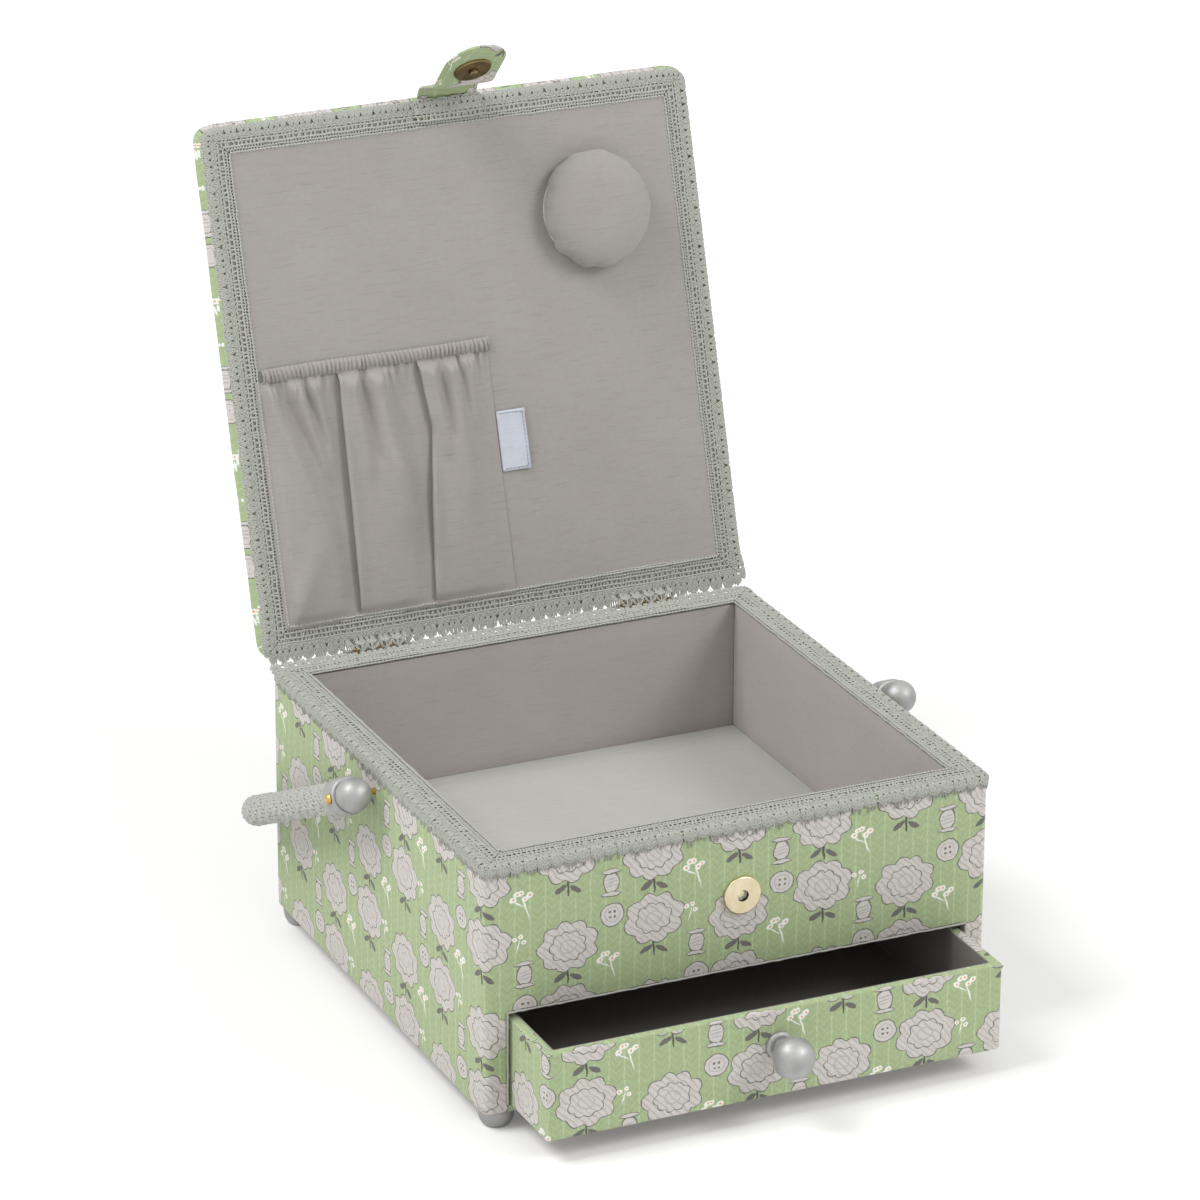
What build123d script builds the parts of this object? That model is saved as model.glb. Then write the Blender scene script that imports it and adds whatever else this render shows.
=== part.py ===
from build123d import *
import os
from math import atan2, cos, degrees, hypot, radians, sin, sqrt

# A square cloth-covered sewing box, standing open: a hinged padded lid with a pocket
# and a pin cushion inside, a lined compartment, a shallow drawer below it, a hoop
# handle on two pivot screws, a tab with a magnetic snap and four turned feet.
# Millimetres. +X is to the right, +Y to the back, +Z up. The origin is the middle of
# the case's underside. The lid stands open and the drawer is pulled out a little.

os.makedirs("parts", exist_ok=True)

# Case boards
case_width = 250.0
case_depth = 250.0
wall_board = 9.0
base_board_thickness = 3.0
shelf_thickness = 3.5
corner_radius = 4.0
compartment_depth = 66.0
bay_corner_radius = 4.0

# Cloth, lining and braid
cloth = 0.6
rim_turn_in = 7.0
wall_lining = 3.7
floor_lining_thickness = 2.0
braid_thickness = 1.6
braid_skirt = 1.0
braid_skirt_height = 3.6

# Drawer
drawer_height = 41.8
drawer_board = 3.6
drawer_bottom_thickness = 3.0
drawer_cloth = 0.5
drawer_liner_thickness = 0.7
drawer_pulled_out = 40.0
drawer_side_clearance = 2.7
drawer_slide_gap = 0.4
drawer_top_clearance = 4.7
drawer_back_gap = 0.6
drawer_corner = 1.6

# Lid
lid_overhang = 0.4
lid_board_thickness = 7.0
lid_padding_thickness = 6.0
lid_crown = 2.4
lid_bulge = 1.3
lid_corner_radius = 7.0
lid_edge_radius = 3.8
lid_braid_cover = 12.4
lid_lining_thickness = 1.8
lid_lean = 17.0

# Hinges
hinge_spacing = 140.0
hinge_length = 25.0
hinge_leaf_width = 12.5
leaf_thickness = 0.8
knuckle_radius = 2.3
knuckle_count = 5
knuckle_gap = 0.15
hinge_pin_radius = 0.9
hinge_setback = 3.0
running_clearance = 0.05
nail_radius = 0.8
nail_head_radius = 1.6
nail_length = 7.0
nail_spacing = 15.0
nail_setback = 8.5

# Tab and magnetic snap
tab_width = 31.0
tab_thickness = 2.0
tab_fold_drop = 21.0
tab_lift = 29.0
tab_end_margin = 20.0
snap_drop = 39.3
snap_radius = 9.2
snap_flange_radius = 9.8
socket_height = 2.6
socket_skin = 0.4
socket_hole_radius = 2.8
stud_plate_thickness = 1.2
stud_radius = 2.0
stud_height = 1.7
snap_gap = 0.3
rivet_radius = 1.6
washer_radius = 5.0
washer_thickness = 0.8

# Handle
handle_drop = 25.2
handle_pivot_depth = 12.9
handle_pivot_forward = 2.0
handle_offset = 14.0
grip_radius = 7.2
core_radius = 3.0
handle_bend = 43.0
handle_rest_gap = 1.5
end_collar_radius = 9.0
end_ball_radius = 8.1
end_collar_length = 16.0
end_ball_length = 16.2
pivot_radius = 1.5
pivot_head_radius = 2.6
pivot_bite = 8.0

# Knob and feet
knob_radius = 9.9
knob_collar_radius = 6.75
knob_collar_length = 3.0
knob_reach = 15.0
knob_height = 24.9
knob_bead = 0.45
knob_screw_radius = 1.8
foot_height = 9.0
foot_edge = 0.8
foot_flare = 1.0
foot_top_radius = 8.2
foot_bottom_radius = 6.5
foot_inset = 9.0
foot_screw_radius = 1.5
foot_screw_head = 2.8

# Lid furnishings: the cushion is placed from the lid's free and right edges, the pocket
# and its label from its hinge and left edges
cushion_radius = 29.0
cushion_height = 16.5
cushion_tuck = 3.5
cushion_side_margin = 57.4
cushion_top_margin = 61.9
cushion_card = 1.0
pocket_top = 128.3
pocket_margin = 1.6
pocket_width = 116.4
pocket_cloth = 0.7
pleat_places = (36.4, 76.9)
pleat_lap = 6.0
pleat_rise = 1.0
band_height = 7.2
band_thickness = 1.9
band_ripple = 3.1
band_ripple_rise = 0.7
label_width = 14.5
label_length = 29.3
label_thickness = 0.6
label_up = 69.7
soft_gap = 0.3

# Levels of the case, from the underside up
drawer_underside = base_board_thickness + drawer_slide_gap
drawer_top = drawer_underside + drawer_height
shelf_underside = drawer_top + drawer_top_clearance
bay_top = shelf_underside - cloth
shelf_top = shelf_underside + shelf_thickness
floor_top = shelf_top + floor_lining_thickness
rim_top = floor_top + compartment_depth
case_height = rim_top - braid_thickness
board_top = case_height - cloth

# Plan of the case
board_half_x = case_width / 2 - cloth
board_half_y = case_depth / 2 - cloth
inner_half_x = board_half_x - wall_board
inner_half_y = board_half_y - wall_board
lined_half_x = inner_half_x - wall_lining
lined_half_y = inner_half_y - wall_lining
board_corner = corner_radius - cloth


def keep(piece, name):
    """Label a finished piece and write it."""
    piece.part.label = name
    export_step(piece.part, f"parts/{name}.step")


def slab(name, low, high):
    """A plain rectangular board between two corners."""
    middle = tuple((a + b) / 2 for a, b in zip(low, high))
    width, depth, height = [b - a for a, b in zip(low, high)]
    with BuildPart() as board:
        with Locations(middle):
            Box(width, depth, height)
    keep(board, name)


def plan_rectangle(half_x, front, back, radius, mode=Mode.ADD):
    """A rectangle in plan, given by its half width, front, back and corner radius."""
    with Locations((0, (front + back) / 2)):
        RectangleRounded(2 * half_x, back - front, radius, mode=mode)


def turning_plane(base, along, beside):
    """A plane through a turned piece's axis: x runs along the axis, y is the radius."""
    return Plane(origin=base, x_dir=along, z_dir=beside)


def cap(rim_at, rim_radius, tip_at):
    """The round end of a turned profile, from its rim to its axis."""
    rise = tip_at - rim_at
    return RadiusArc((rim_at, rim_radius), (tip_at, 0),
                     (rise ** 2 + rim_radius ** 2) / (2 * rise))


# Hinge axis and the lid's own directions: up the lid, and out of its lining
hinge_axis = Vector(0, case_depth / 2 + hinge_setback, case_height + knuckle_radius)
lean = radians(lid_lean)
lid_up = Vector(0, sin(lean), cos(lean))
lid_inward = Vector(0, -cos(lean), sin(lean))
lid_setback = hinge_setback - lid_overhang
lid_origin = hinge_axis + lid_up * lid_setback - lid_inward * knuckle_radius
lid_face = Plane(origin=lid_origin, x_dir=(1, 0, 0), z_dir=lid_inward)
lid_side = Plane(origin=lid_origin, x_dir=lid_up, z_dir=(1, 0, 0))
lid_width = case_width + 2 * lid_overhang
lid_length = case_depth + 2 * lid_overhang
lid_thickness = 2 * cloth + lid_board_thickness + lid_padding_thickness
bulge_start = braid_skirt_height + running_clearance

# Each hinge has a plane on the case and one on the lid: y runs from the pin into the
# wood, z stands out of the surface that the leaf lies on.
hinge_places = {"left": -hinge_spacing / 2, "right": hinge_spacing / 2}


def case_leaf_plane(x):
    return Plane(origin=(x, hinge_axis.Y, case_height), x_dir=(-1, 0, 0), z_dir=(0, 0, 1))


def lid_leaf_plane(x):
    foot = lid_origin - lid_up * lid_setback + Vector(x, 0, 0)
    return Plane(origin=foot, x_dir=(1, 0, 0), z_dir=lid_inward)


def nail_holes(plane_of):
    """Cut the holes of the nails that hold both hinges' leaves."""
    for x in hinge_places.values():
        with BuildSketch(plane_of(x)) as holes:
            with GridLocations(nail_spacing, 0, 2, 1):
                with Locations((0, nail_setback)):
                    Circle(nail_radius)
        extrude(holes.sketch, amount=leaf_thickness - nail_length, mode=Mode.SUBTRACT)


# Base board
with BuildPart() as base_board:
    with BuildSketch():
        RectangleRounded(2 * board_half_x, 2 * board_half_y, board_corner)
        with GridLocations(case_width - 2 * foot_inset, case_depth - 2 * foot_inset, 2, 2):
            Circle(foot_screw_radius, mode=Mode.SUBTRACT)
    extrude(amount=base_board_thickness)
keep(base_board, "base_board")

snap_height = case_height + 2 * knuckle_radius - snap_drop
snap_seat = Vector(0, -case_depth / 2, snap_height)
pivot_height = rim_top - handle_pivot_depth
pivot_y = -handle_pivot_forward


def bay_outline(inset):
    """The drawer bay seen from the front, with its upper corners rounded."""
    half = inner_half_x - inset
    top = bay_top + cloth - inset
    with BuildSketch() as opening:
        with Locations((0, (base_board_thickness + top) / 2)):
            Rectangle(2 * half, top - base_board_thickness)
        fillet(opening.vertices().group_by(Axis.Y)[-1], bay_corner_radius - inset)
    return opening.sketch


# Front board with the drawer bay sawn out of it and a seat for the snap's rivet
front_plane = Plane.XZ.offset(board_half_y)
with BuildPart() as front_panel:
    with BuildSketch(Plane.XY.offset(base_board_thickness)):
        with Locations((0, -board_half_y + wall_board / 2)):
            Rectangle(2 * board_half_x, wall_board)
    extrude(amount=board_top - base_board_thickness)
    fillet(front_panel.edges().filter_by(Axis.Z).group_by(Axis.Y)[0], board_corner)
    with BuildSketch(front_plane):
        add(bay_outline(0))
        with Locations((0, snap_height)):
            Circle(rivet_radius)
    extrude(amount=-wall_board, mode=Mode.SUBTRACT)
    with BuildSketch(Plane.XZ.offset(inner_half_y)):
        with Locations((0, snap_height)):
            Circle(washer_radius)
    extrude(amount=washer_thickness, mode=Mode.SUBTRACT)
keep(front_panel, "front_panel")

# Back board, drilled for the hinge nails
with BuildPart() as back_panel:
    with BuildSketch(Plane.XY.offset(base_board_thickness)):
        with Locations((0, board_half_y - wall_board / 2)):
            Rectangle(2 * board_half_x, wall_board)
    extrude(amount=board_top - base_board_thickness)
    fillet(back_panel.edges().filter_by(Axis.Z).group_by(Axis.Y)[-1], board_corner)
    nail_holes(case_leaf_plane)
keep(back_panel, "back_panel")

# Side boards, drilled for the handle's pivot screws
for side, sign in (("left", -1), ("right", 1)):
    with BuildPart() as side_panel:
        with BuildSketch(Plane.YZ.offset(sign * (inner_half_x + wall_board / 2))):
            with Locations((0, (base_board_thickness + board_top) / 2)):
                Rectangle(2 * inner_half_y, board_top - base_board_thickness)
            with Locations((pivot_y, pivot_height)):
                Circle(pivot_radius, mode=Mode.SUBTRACT)
        extrude(amount=wall_board / 2, both=True)
    keep(side_panel, f"{side}_panel")

# Shelf over the drawer bay, and the padded lining boards of the compartment
slab("shelf_board", (-inner_half_x, -inner_half_y, shelf_underside),
     (inner_half_x, inner_half_y, shelf_top))
slab("floor_lining", (-lined_half_x, -lined_half_y, shelf_top),
     (lined_half_x, lined_half_y, floor_top))
slab("left_lining", (-inner_half_x, -inner_half_y, shelf_top),
     (-lined_half_x, inner_half_y, board_top))
slab("right_lining", (lined_half_x, -inner_half_y, shelf_top),
     (inner_half_x, inner_half_y, board_top))
slab("front_lining", (-lined_half_x, -inner_half_y, shelf_top),
     (lined_half_x, -lined_half_y, board_top))
slab("back_lining", (-lined_half_x, lined_half_y, shelf_top),
     (lined_half_x, inner_half_y, board_top))

# Cover cloth of the case: four sides, turned over the rim and into the bay
with BuildPart() as case_cover:
    with BuildSketch():
        RectangleRounded(case_width, case_depth, corner_radius)
        RectangleRounded(2 * board_half_x, 2 * board_half_y, board_corner, mode=Mode.SUBTRACT)
    extrude(amount=case_height)
    with BuildSketch(Plane.XY.offset(board_top)):
        RectangleRounded(2 * board_half_x, 2 * board_half_y, board_corner)
        Rectangle(case_width - 2 * rim_turn_in, case_depth - 2 * rim_turn_in,
                  mode=Mode.SUBTRACT)
    extrude(amount=cloth)
    with BuildSketch(front_plane):
        add(bay_outline(0))
    extrude(amount=cloth, mode=Mode.SUBTRACT)
    with BuildSketch(front_plane.offset(cloth)):
        add(bay_outline(0))
        add(bay_outline(cloth), mode=Mode.SUBTRACT)
    extrude(amount=-cloth - wall_board)
    with BuildSketch(Plane.XZ.offset(case_depth / 2)):
        with Locations((0, snap_height)):
            Circle(rivet_radius)
    extrude(amount=-cloth, mode=Mode.SUBTRACT)
    with BuildSketch(Plane.YZ):
        with Locations((pivot_y, pivot_height)):
            Circle(pivot_radius)
    extrude(amount=case_width, both=True, mode=Mode.SUBTRACT)
    nail_holes(case_leaf_plane)
keep(case_cover, "case_cover")


def leaf_pockets(plane_of, edge):
    """Open a braid over the knuckles and leave room for the leaves under it."""
    for x in hinge_places.values():
        with BuildSketch(plane_of(x).offset(-braid_skirt_height)) as notch:
            with Locations((0, edge / 2)):
                Rectangle(hinge_length + 2 * soft_gap, edge)
        extrude(notch.sketch, amount=braid_skirt_height + braid_thickness,
                mode=Mode.SUBTRACT)
        with BuildSketch(plane_of(x)) as pocket_floor:
            with Locations((0, hinge_leaf_width / 2)):
                Rectangle(hinge_length + 2 * soft_gap, hinge_leaf_width + 2 * soft_gap)
        extrude(pocket_floor.sketch, amount=leaf_thickness + running_clearance,
                mode=Mode.SUBTRACT)


def braid_frame(face, middle, width, length, radius, cover, plane_of, edge):
    """A mitred frame of braid laid on a rim and folded down over its outer edge."""
    with BuildPart() as braid:
        with BuildSketch(face):
            with Locations((0, middle)):
                RectangleRounded(width + 2 * braid_skirt, length + 2 * braid_skirt,
                                 radius + braid_skirt)
                Rectangle(width - 2 * cover, length - 2 * cover, mode=Mode.SUBTRACT)
        extrude(amount=braid_thickness)
        with BuildSketch(face):
            with Locations((0, middle)):
                RectangleRounded(width + 2 * braid_skirt, length + 2 * braid_skirt,
                                 radius + braid_skirt)
                RectangleRounded(width, length, radius, mode=Mode.SUBTRACT)
        extrude(amount=-braid_skirt_height)
        leaf_pockets(plane_of, edge)
    return braid


rim_cover = cloth + wall_board + wall_lining
rim_braid = braid_frame(Plane.XY.offset(case_height), 0, case_width, case_depth,
                        corner_radius, rim_cover, case_leaf_plane, hinge_setback)
keep(rim_braid, "rim_braid")
lid_braid = braid_frame(lid_face, lid_length / 2, lid_width, lid_length,
                        lid_corner_radius, lid_braid_cover, lid_leaf_plane, lid_setback)
keep(lid_braid, "lid_braid")


def hinge_leaf(plane, own_knuckles):
    """A rolled brass leaf: a plate, its share of the knuckles and two nail holes."""
    pitch = hinge_length / knuckle_count
    plate_start = knuckle_radius + 2 * knuckle_gap
    plate_length = hinge_leaf_width - plate_start
    knuckles = [(i - (knuckle_count - 1) / 2) * pitch for i in own_knuckles]
    with BuildPart() as leaf:
        with BuildSketch(plane):
            with Locations((0, plate_start + plate_length / 2)):
                Rectangle(hinge_length, plate_length)
            for x in knuckles:
                with Locations((x, plate_start / 2)):
                    Rectangle(pitch - knuckle_gap, plate_start)
        extrude(amount=leaf_thickness)
        for x in knuckles:
            end = plane * Plane(origin=(x, 0, knuckle_radius), x_dir=(0, 1, 0), z_dir=(1, 0, 0))
            with BuildSketch(end):
                Circle(knuckle_radius)
            extrude(amount=(pitch - knuckle_gap) / 2, both=True)
        bore = plane * Plane(origin=(0, 0, knuckle_radius), x_dir=(0, 1, 0), z_dir=(1, 0, 0))
        with BuildSketch(bore):
            Circle(hinge_pin_radius + running_clearance)
        extrude(amount=hinge_length, both=True, mode=Mode.SUBTRACT)
        with Locations(plane.offset(leaf_thickness)):
            with GridLocations(nail_spacing, 0, 2, 1):
                with Locations((0, nail_setback, 0)):
                    CounterSinkHole(nail_radius, nail_head_radius, depth=leaf_thickness)
    return leaf


case_knuckles = range(0, knuckle_count, 2)
lid_knuckles = range(1, knuckle_count, 2)
for side, x in hinge_places.items():
    keep(hinge_leaf(case_leaf_plane(x), case_knuckles), f"{side}_hinge_case_leaf")
    keep(hinge_leaf(lid_leaf_plane(x), lid_knuckles), f"{side}_hinge_lid_leaf")
    with BuildPart() as hinge_pin:
        with BuildSketch(Plane(origin=hinge_axis + Vector(x, 0, 0), z_dir=(1, 0, 0))):
            Circle(hinge_pin_radius)
        extrude(amount=hinge_length / 2, both=True)
        chamfer(hinge_pin.edges(), hinge_pin_radius / 4)
    keep(hinge_pin, f"{side}_hinge_pin")


def hinge_nails(name, plane_of):
    """The countersunk nails of both leaves on one side of the hinges."""
    head = nail_head_radius - nail_radius
    with BuildPart() as nails:
        for x in hinge_places.values():
            for across in (-nail_spacing / 2, nail_spacing / 2):
                plane = plane_of(x).offset(leaf_thickness)
                top = plane.from_local_coords((across, nail_setback, 0))
                turning = turning_plane(top, -plane.z_dir, plane.x_dir)
                with BuildSketch(turning):
                    Polygon((0, 0), (0, nail_head_radius), (head, nail_radius),
                            (nail_length - 2 * nail_radius, nail_radius),
                            (nail_length, 0), align=None)
                revolve(axis=Axis(top, plane.z_dir))
    keep(nails, name)


hinge_nails("case_hinge_nails", case_leaf_plane)
hinge_nails("lid_hinge_nails", lid_leaf_plane)


def lid_plan(grow):
    """The lid's outline on its own face, drawn larger by the same amount all round."""
    with Locations((0, lid_length / 2)):
        RectangleRounded(lid_width + 2 * grow, lid_length + 2 * grow,
                         lid_corner_radius + grow)


def padded_form(inset):
    """The lid's padded shape, shrunk all round: it bulges past the braid's skirt, is
    crowned on its outer side and rounded over at its edge."""
    high = lid_thickness - inset
    half_diagonal = hypot(lid_width / 2, lid_length / 2)
    crown_radius = (half_diagonal ** 2 + lid_crown ** 2) / (2 * lid_crown)
    with BuildPart() as form:
        with BuildSketch(lid_face.offset(-bulge_start - inset)):
            lid_plan(lid_bulge - inset)
        extrude(amount=bulge_start + inset - high)
        with Locations(lid_face.offset(crown_radius - high)):
            with Locations((0, lid_length / 2, 0)):
                Sphere(crown_radius, rotation=(0, 90, 0), mode=Mode.INTERSECT)
        crown = form.faces().sort_by(Axis(lid_origin, lid_inward))[0]
        fillet(crown.edges(), lid_edge_radius - inset)
        ledge = form.faces().sort_by(Axis(lid_origin, lid_inward))[-1]
        fillet(ledge.edges(), (lid_bulge - inset / 2) / 2)
        with BuildSketch(lid_face.offset(-inset)):
            lid_plan(-inset)
        extrude(amount=inset - bulge_start - lid_board_thickness)
    return form


# Lid: board, wadding and the printed cloth drawn over them and turned under the braid
with BuildPart() as lid_board:
    with BuildSketch(lid_face.offset(-cloth)):
        lid_plan(-cloth)
    extrude(amount=-lid_board_thickness)
    nail_holes(lid_leaf_plane)
keep(lid_board, "lid_board")

cover_inside = padded_form(cloth)
with BuildPart() as lid_padding:
    add(cover_inside.part)
    with BuildSketch(lid_face):
        lid_plan(-cloth)
    extrude(amount=-cloth - lid_board_thickness, mode=Mode.SUBTRACT)
keep(lid_padding, "lid_padding")

with BuildPart() as lid_cover:
    add(padded_form(0).part)
    add(cover_inside.part, mode=Mode.SUBTRACT)
    with BuildSketch(lid_face):
        with Locations((0, lid_length / 2)):
            Rectangle(lid_width - 2 * lid_braid_cover, lid_length - 2 * lid_braid_cover)
    extrude(amount=-cloth, mode=Mode.SUBTRACT)
    nail_holes(lid_leaf_plane)
keep(lid_cover, "lid_cover")

lining_face = lid_lining_thickness - cloth
with BuildPart() as lid_lining:
    with BuildSketch(lid_face.offset(-cloth)):
        with Locations((0, lid_length / 2)):
            Rectangle(lid_width - 2 * lid_braid_cover, lid_length - 2 * lid_braid_cover)
    extrude(amount=lid_lining_thickness)
keep(lid_lining, "lid_lining")

# Pin cushion: a crowned pad with drawn-in sides on a card disc
cushion_seat = lid_face.from_local_coords((lid_width / 2 - cushion_side_margin,
                                           lid_length - cushion_top_margin,
                                           lining_face))
cushion_foot = cushion_radius - cushion_tuck
with BuildPart() as cushion_disc:
    with BuildSketch(Plane(origin=cushion_seat, x_dir=(1, 0, 0), z_dir=lid_inward)):
        Circle(cushion_foot)
    extrude(amount=cushion_card)
keep(cushion_disc, "pin_cushion_card")

cushion_base = cushion_seat + lid_inward * (cushion_card + soft_gap)
with BuildPart() as pin_cushion:
    with BuildSketch(turning_plane(cushion_base, lid_inward, (1, 0, 0))):
        with BuildLine():
            Line((0, 0), (0, cushion_foot))
            side = ThreePointArc((0, cushion_foot),
                                 (cushion_height * 0.27, cushion_radius),
                                 (cushion_height * 0.52, cushion_radius * 0.94))
            shoulder = ThreePointArc(side @ 1, (cushion_height * 0.77, cushion_radius * 0.72),
                                     (cushion_height * 0.92, cushion_radius * 0.4))
            cap(cushion_height * 0.92, cushion_radius * 0.4, cushion_height)
            Line((cushion_height, 0), (0, 0))
        make_face()
    revolve(axis=Axis(cushion_base, lid_inward))
keep(pin_cushion, "pin_cushion")

# Pocket: one cloth laid in two knife pleats, gathered at its mouth on an elastic
pocket_left = lid_braid_cover + pocket_margin - lid_width / 2
pocket_bottom = lid_braid_cover + pocket_margin
pocket_low = lining_face + soft_gap + pocket_cloth / 2
mouth = lid_face.from_local_coords((0, pocket_top, pocket_low))
pocket_right = pocket_left + pocket_width
pocket_run = [(pocket_left, 0)]
for place in pleat_places:
    fold = pocket_left + place
    pocket_run += [(fold + pleat_lap, 0), (fold, pleat_rise), (fold, 2 * pleat_rise)]
pocket_run.append((pocket_right - pocket_cloth / 2, 0))
with BuildPart() as pocket:
    with BuildSketch(Plane(origin=mouth, x_dir=(1, 0, 0), z_dir=-lid_up)):
        for start, end in zip(pocket_run, pocket_run[1:]):
            run = Vector(*end) - Vector(*start)
            middle = (Vector(*start) + Vector(*end)) / 2
            turned = degrees(atan2(run.Y, run.X))
            with Locations(middle):
                SlotCenterToCenter(run.length, pocket_cloth, rotation=turned)
    extrude(amount=pocket_top - pocket_bottom)
keep(pocket, "pocket")

band_foot = lid_face.from_local_coords((pocket_left, pocket_top + soft_gap,
                                        lining_face + soft_gap))
ripples = round(pocket_width / band_ripple)
with BuildPart() as band:
    with BuildSketch(Plane(origin=band_foot, x_dir=(1, 0, 0), z_dir=-lid_up)):
        with BuildLine():
            Polyline((0, band_thickness), (0, 0), (pocket_width, 0),
                     (pocket_width, band_thickness))
            for i in range(ripples):
                start = (pocket_width * i / ripples, band_thickness)
                end = (pocket_width * (i + 1) / ripples, band_thickness)
                crest = ((start[0] + end[0]) / 2, band_thickness + band_ripple_rise)
                ThreePointArc(start, crest, end)
        make_face()
    extrude(amount=-band_height)
keep(band, "pocket_band")

# Blank cloth label sewn into the pocket's side seam
label_corner = lid_face.from_local_coords((pocket_right + soft_gap, label_up,
                                           lining_face + soft_gap))
with BuildPart() as seam_label:
    with BuildSketch(Plane(origin=label_corner, x_dir=(1, 0, 0), z_dir=lid_inward)):
        Rectangle(label_width, label_length, align=Align.MIN)
    extrude(amount=label_thickness)
keep(seam_label, "seam_label")

# Closing tab. Its root is sewn under the lid's braid and turns down over the edge; the
# free end folds about a line across the strap.
stack = socket_height + snap_gap + stud_plate_thickness + tab_thickness / 2
tab_up = stack + lid_length - lid_overhang
root_start = lid_length + braid_skirt
root_level = tab_thickness / 2 - cloth / 2
root_bend = tab_up - root_start
with BuildPart() as tab_root:
    with BuildSketch(lid_side):
        with BuildLine():
            turn = RadiusArc((root_start, root_level), (tab_up, root_level + root_bend),
                             -root_bend)
            Line(turn @ 1, (tab_up, tab_fold_drop - tab_thickness / 2 - soft_gap))
        trace(line_width=tab_thickness)
    extrude(amount=tab_width / 2, both=True)
keep(tab_root, "tab_root")

lift = radians(tab_lift)
tab_fold = lid_face.from_local_coords((0, tab_up, tab_fold_drop))
tab_down = lid_up * sin(lift) + lid_inward * cos(lift)
tab_inward = lid_inward * sin(lift) - lid_up * cos(lift)
tab_face = Plane(origin=tab_fold, x_dir=(1, 0, 0), z_dir=tab_inward)
snap_run = snap_drop - tab_fold_drop
tab_end_centre = snap_run + tab_end_margin - tab_width / 2
with BuildPart() as tab_strap:
    with BuildSketch(tab_face.offset(-tab_thickness / 2)):
        with Locations((0, tab_end_centre / 2)):
            Rectangle(tab_width, tab_end_centre)
        with Locations((0, tab_end_centre)):
            Circle(tab_width / 2)
    extrude(amount=tab_thickness)
    with BuildSketch(Plane(origin=tab_fold, z_dir=(1, 0, 0))):
        Circle(tab_thickness / 2)
    extrude(amount=tab_width / 2, both=True)
keep(tab_strap, "tab_strap")

# Magnetic snap: a plate with a stud on the tab, a cup with a ring magnet on the case
stud_seat = tab_face.from_local_coords((0, snap_run, tab_thickness / 2))
plate_edge = stud_plate_thickness / 2
with BuildPart() as snap_stud:
    with BuildSketch(turning_plane(stud_seat, tab_inward, (1, 0, 0))):
        with BuildLine():
            Polyline((0, 0), (0, snap_radius), (plate_edge, snap_radius),
                     (stud_plate_thickness, snap_radius - plate_edge),
                     (stud_plate_thickness, stud_radius + plate_edge),
                     (plate_edge, stud_radius + plate_edge), (plate_edge, stud_radius),
                     (stud_plate_thickness + stud_height - plate_edge, stud_radius),
                     (stud_plate_thickness + stud_height, stud_radius - plate_edge),
                     (stud_plate_thickness + stud_height, 0), (0, 0))
        make_face()
    revolve(axis=Axis(stud_seat, tab_inward))
keep(snap_stud, "snap_stud")

forward = Vector(0, -1, 0)
with BuildPart() as snap_socket:
    with BuildSketch(turning_plane(snap_seat, forward, (1, 0, 0))):
        with BuildLine():
            Polyline((0, snap_flange_radius), (socket_skin, snap_flange_radius),
                     (socket_skin, snap_radius), (socket_height, snap_radius),
                     (socket_height, socket_hole_radius),
                     (socket_height - socket_skin, socket_hole_radius),
                     (socket_height - socket_skin, snap_radius - socket_skin),
                     (0, snap_radius - socket_skin), (0, snap_flange_radius))
        make_face()
    revolve(axis=Axis(snap_seat, forward))
    fillet(snap_socket.edges().filter_by(GeomType.CIRCLE).group_by(Axis.Y)[0]
           .sort_by(SortBy.RADIUS)[-1], socket_skin * 2)
keep(snap_socket, "snap_socket")

magnet_hole = socket_hole_radius + running_clearance
rivet_head = socket_skin
with BuildPart() as snap_magnet:
    with BuildSketch(Plane.XZ.offset(case_depth / 2 + rivet_head)):
        with Locations((0, snap_height)):
            Circle(snap_radius - socket_skin)
            Circle(magnet_hole, mode=Mode.SUBTRACT)
    extrude(amount=socket_height - socket_skin - rivet_head)
keep(snap_magnet, "snap_magnet")

with BuildPart() as snap_rivet:
    with BuildSketch(Plane.XZ.offset(case_depth / 2)):
        with Locations((0, snap_height)):
            Circle(washer_radius)
    extrude(amount=rivet_head)
    with BuildSketch(Plane.XZ.offset(case_depth / 2)):
        with Locations((0, snap_height)):
            Circle(rivet_radius)
    extrude(amount=-cloth - wall_board)
keep(snap_rivet, "snap_rivet")

with BuildPart() as snap_washer:
    with BuildSketch(Plane.XZ.offset(inner_half_y)):
        with Locations((0, snap_height)):
            Circle(washer_radius)
            Circle(rivet_radius, mode=Mode.SUBTRACT)
    extrude(amount=washer_thickness)
keep(snap_washer, "snap_washer")

# Turned feet, each held by a screw from below
foot_places = {"front_left": (-1, -1), "front_right": (1, -1),
               "back_left": (-1, 1), "back_right": (1, 1)}
screw_recess = foot_height / 4
foot_centres = {}
for name, (side_x, side_y) in foot_places.items():
    foot_centres[name] = Vector(side_x * (case_width / 2 - foot_inset),
                                side_y * (case_depth / 2 - foot_inset), 0)
for name, centre in foot_centres.items():
    with BuildPart() as foot:
        with BuildSketch(turning_plane(centre, (0, 0, -1), (1, 0, 0))):
            with BuildLine():
                Line((0, foot_screw_radius), (0, foot_top_radius - foot_flare))
                shoulder = ThreePointArc((0, foot_top_radius - foot_flare),
                                         (foot_height / 7, foot_top_radius),
                                         (foot_height / 3, foot_top_radius))
                waist = ThreePointArc(shoulder @ 1,
                                      (foot_height * 0.7, foot_bottom_radius + foot_flare),
                                      (foot_height - foot_edge, foot_bottom_radius))
                Polyline(waist @ 1, (foot_height, foot_bottom_radius - foot_edge),
                         (foot_height, foot_screw_head),
                         (foot_height - screw_recess, foot_screw_head),
                         (foot_height - screw_recess, foot_screw_radius),
                         (0, foot_screw_radius))
            make_face()
        revolve(axis=Axis(centre, (0, 0, 1)))
    keep(foot, f"foot_{name}")

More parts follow.
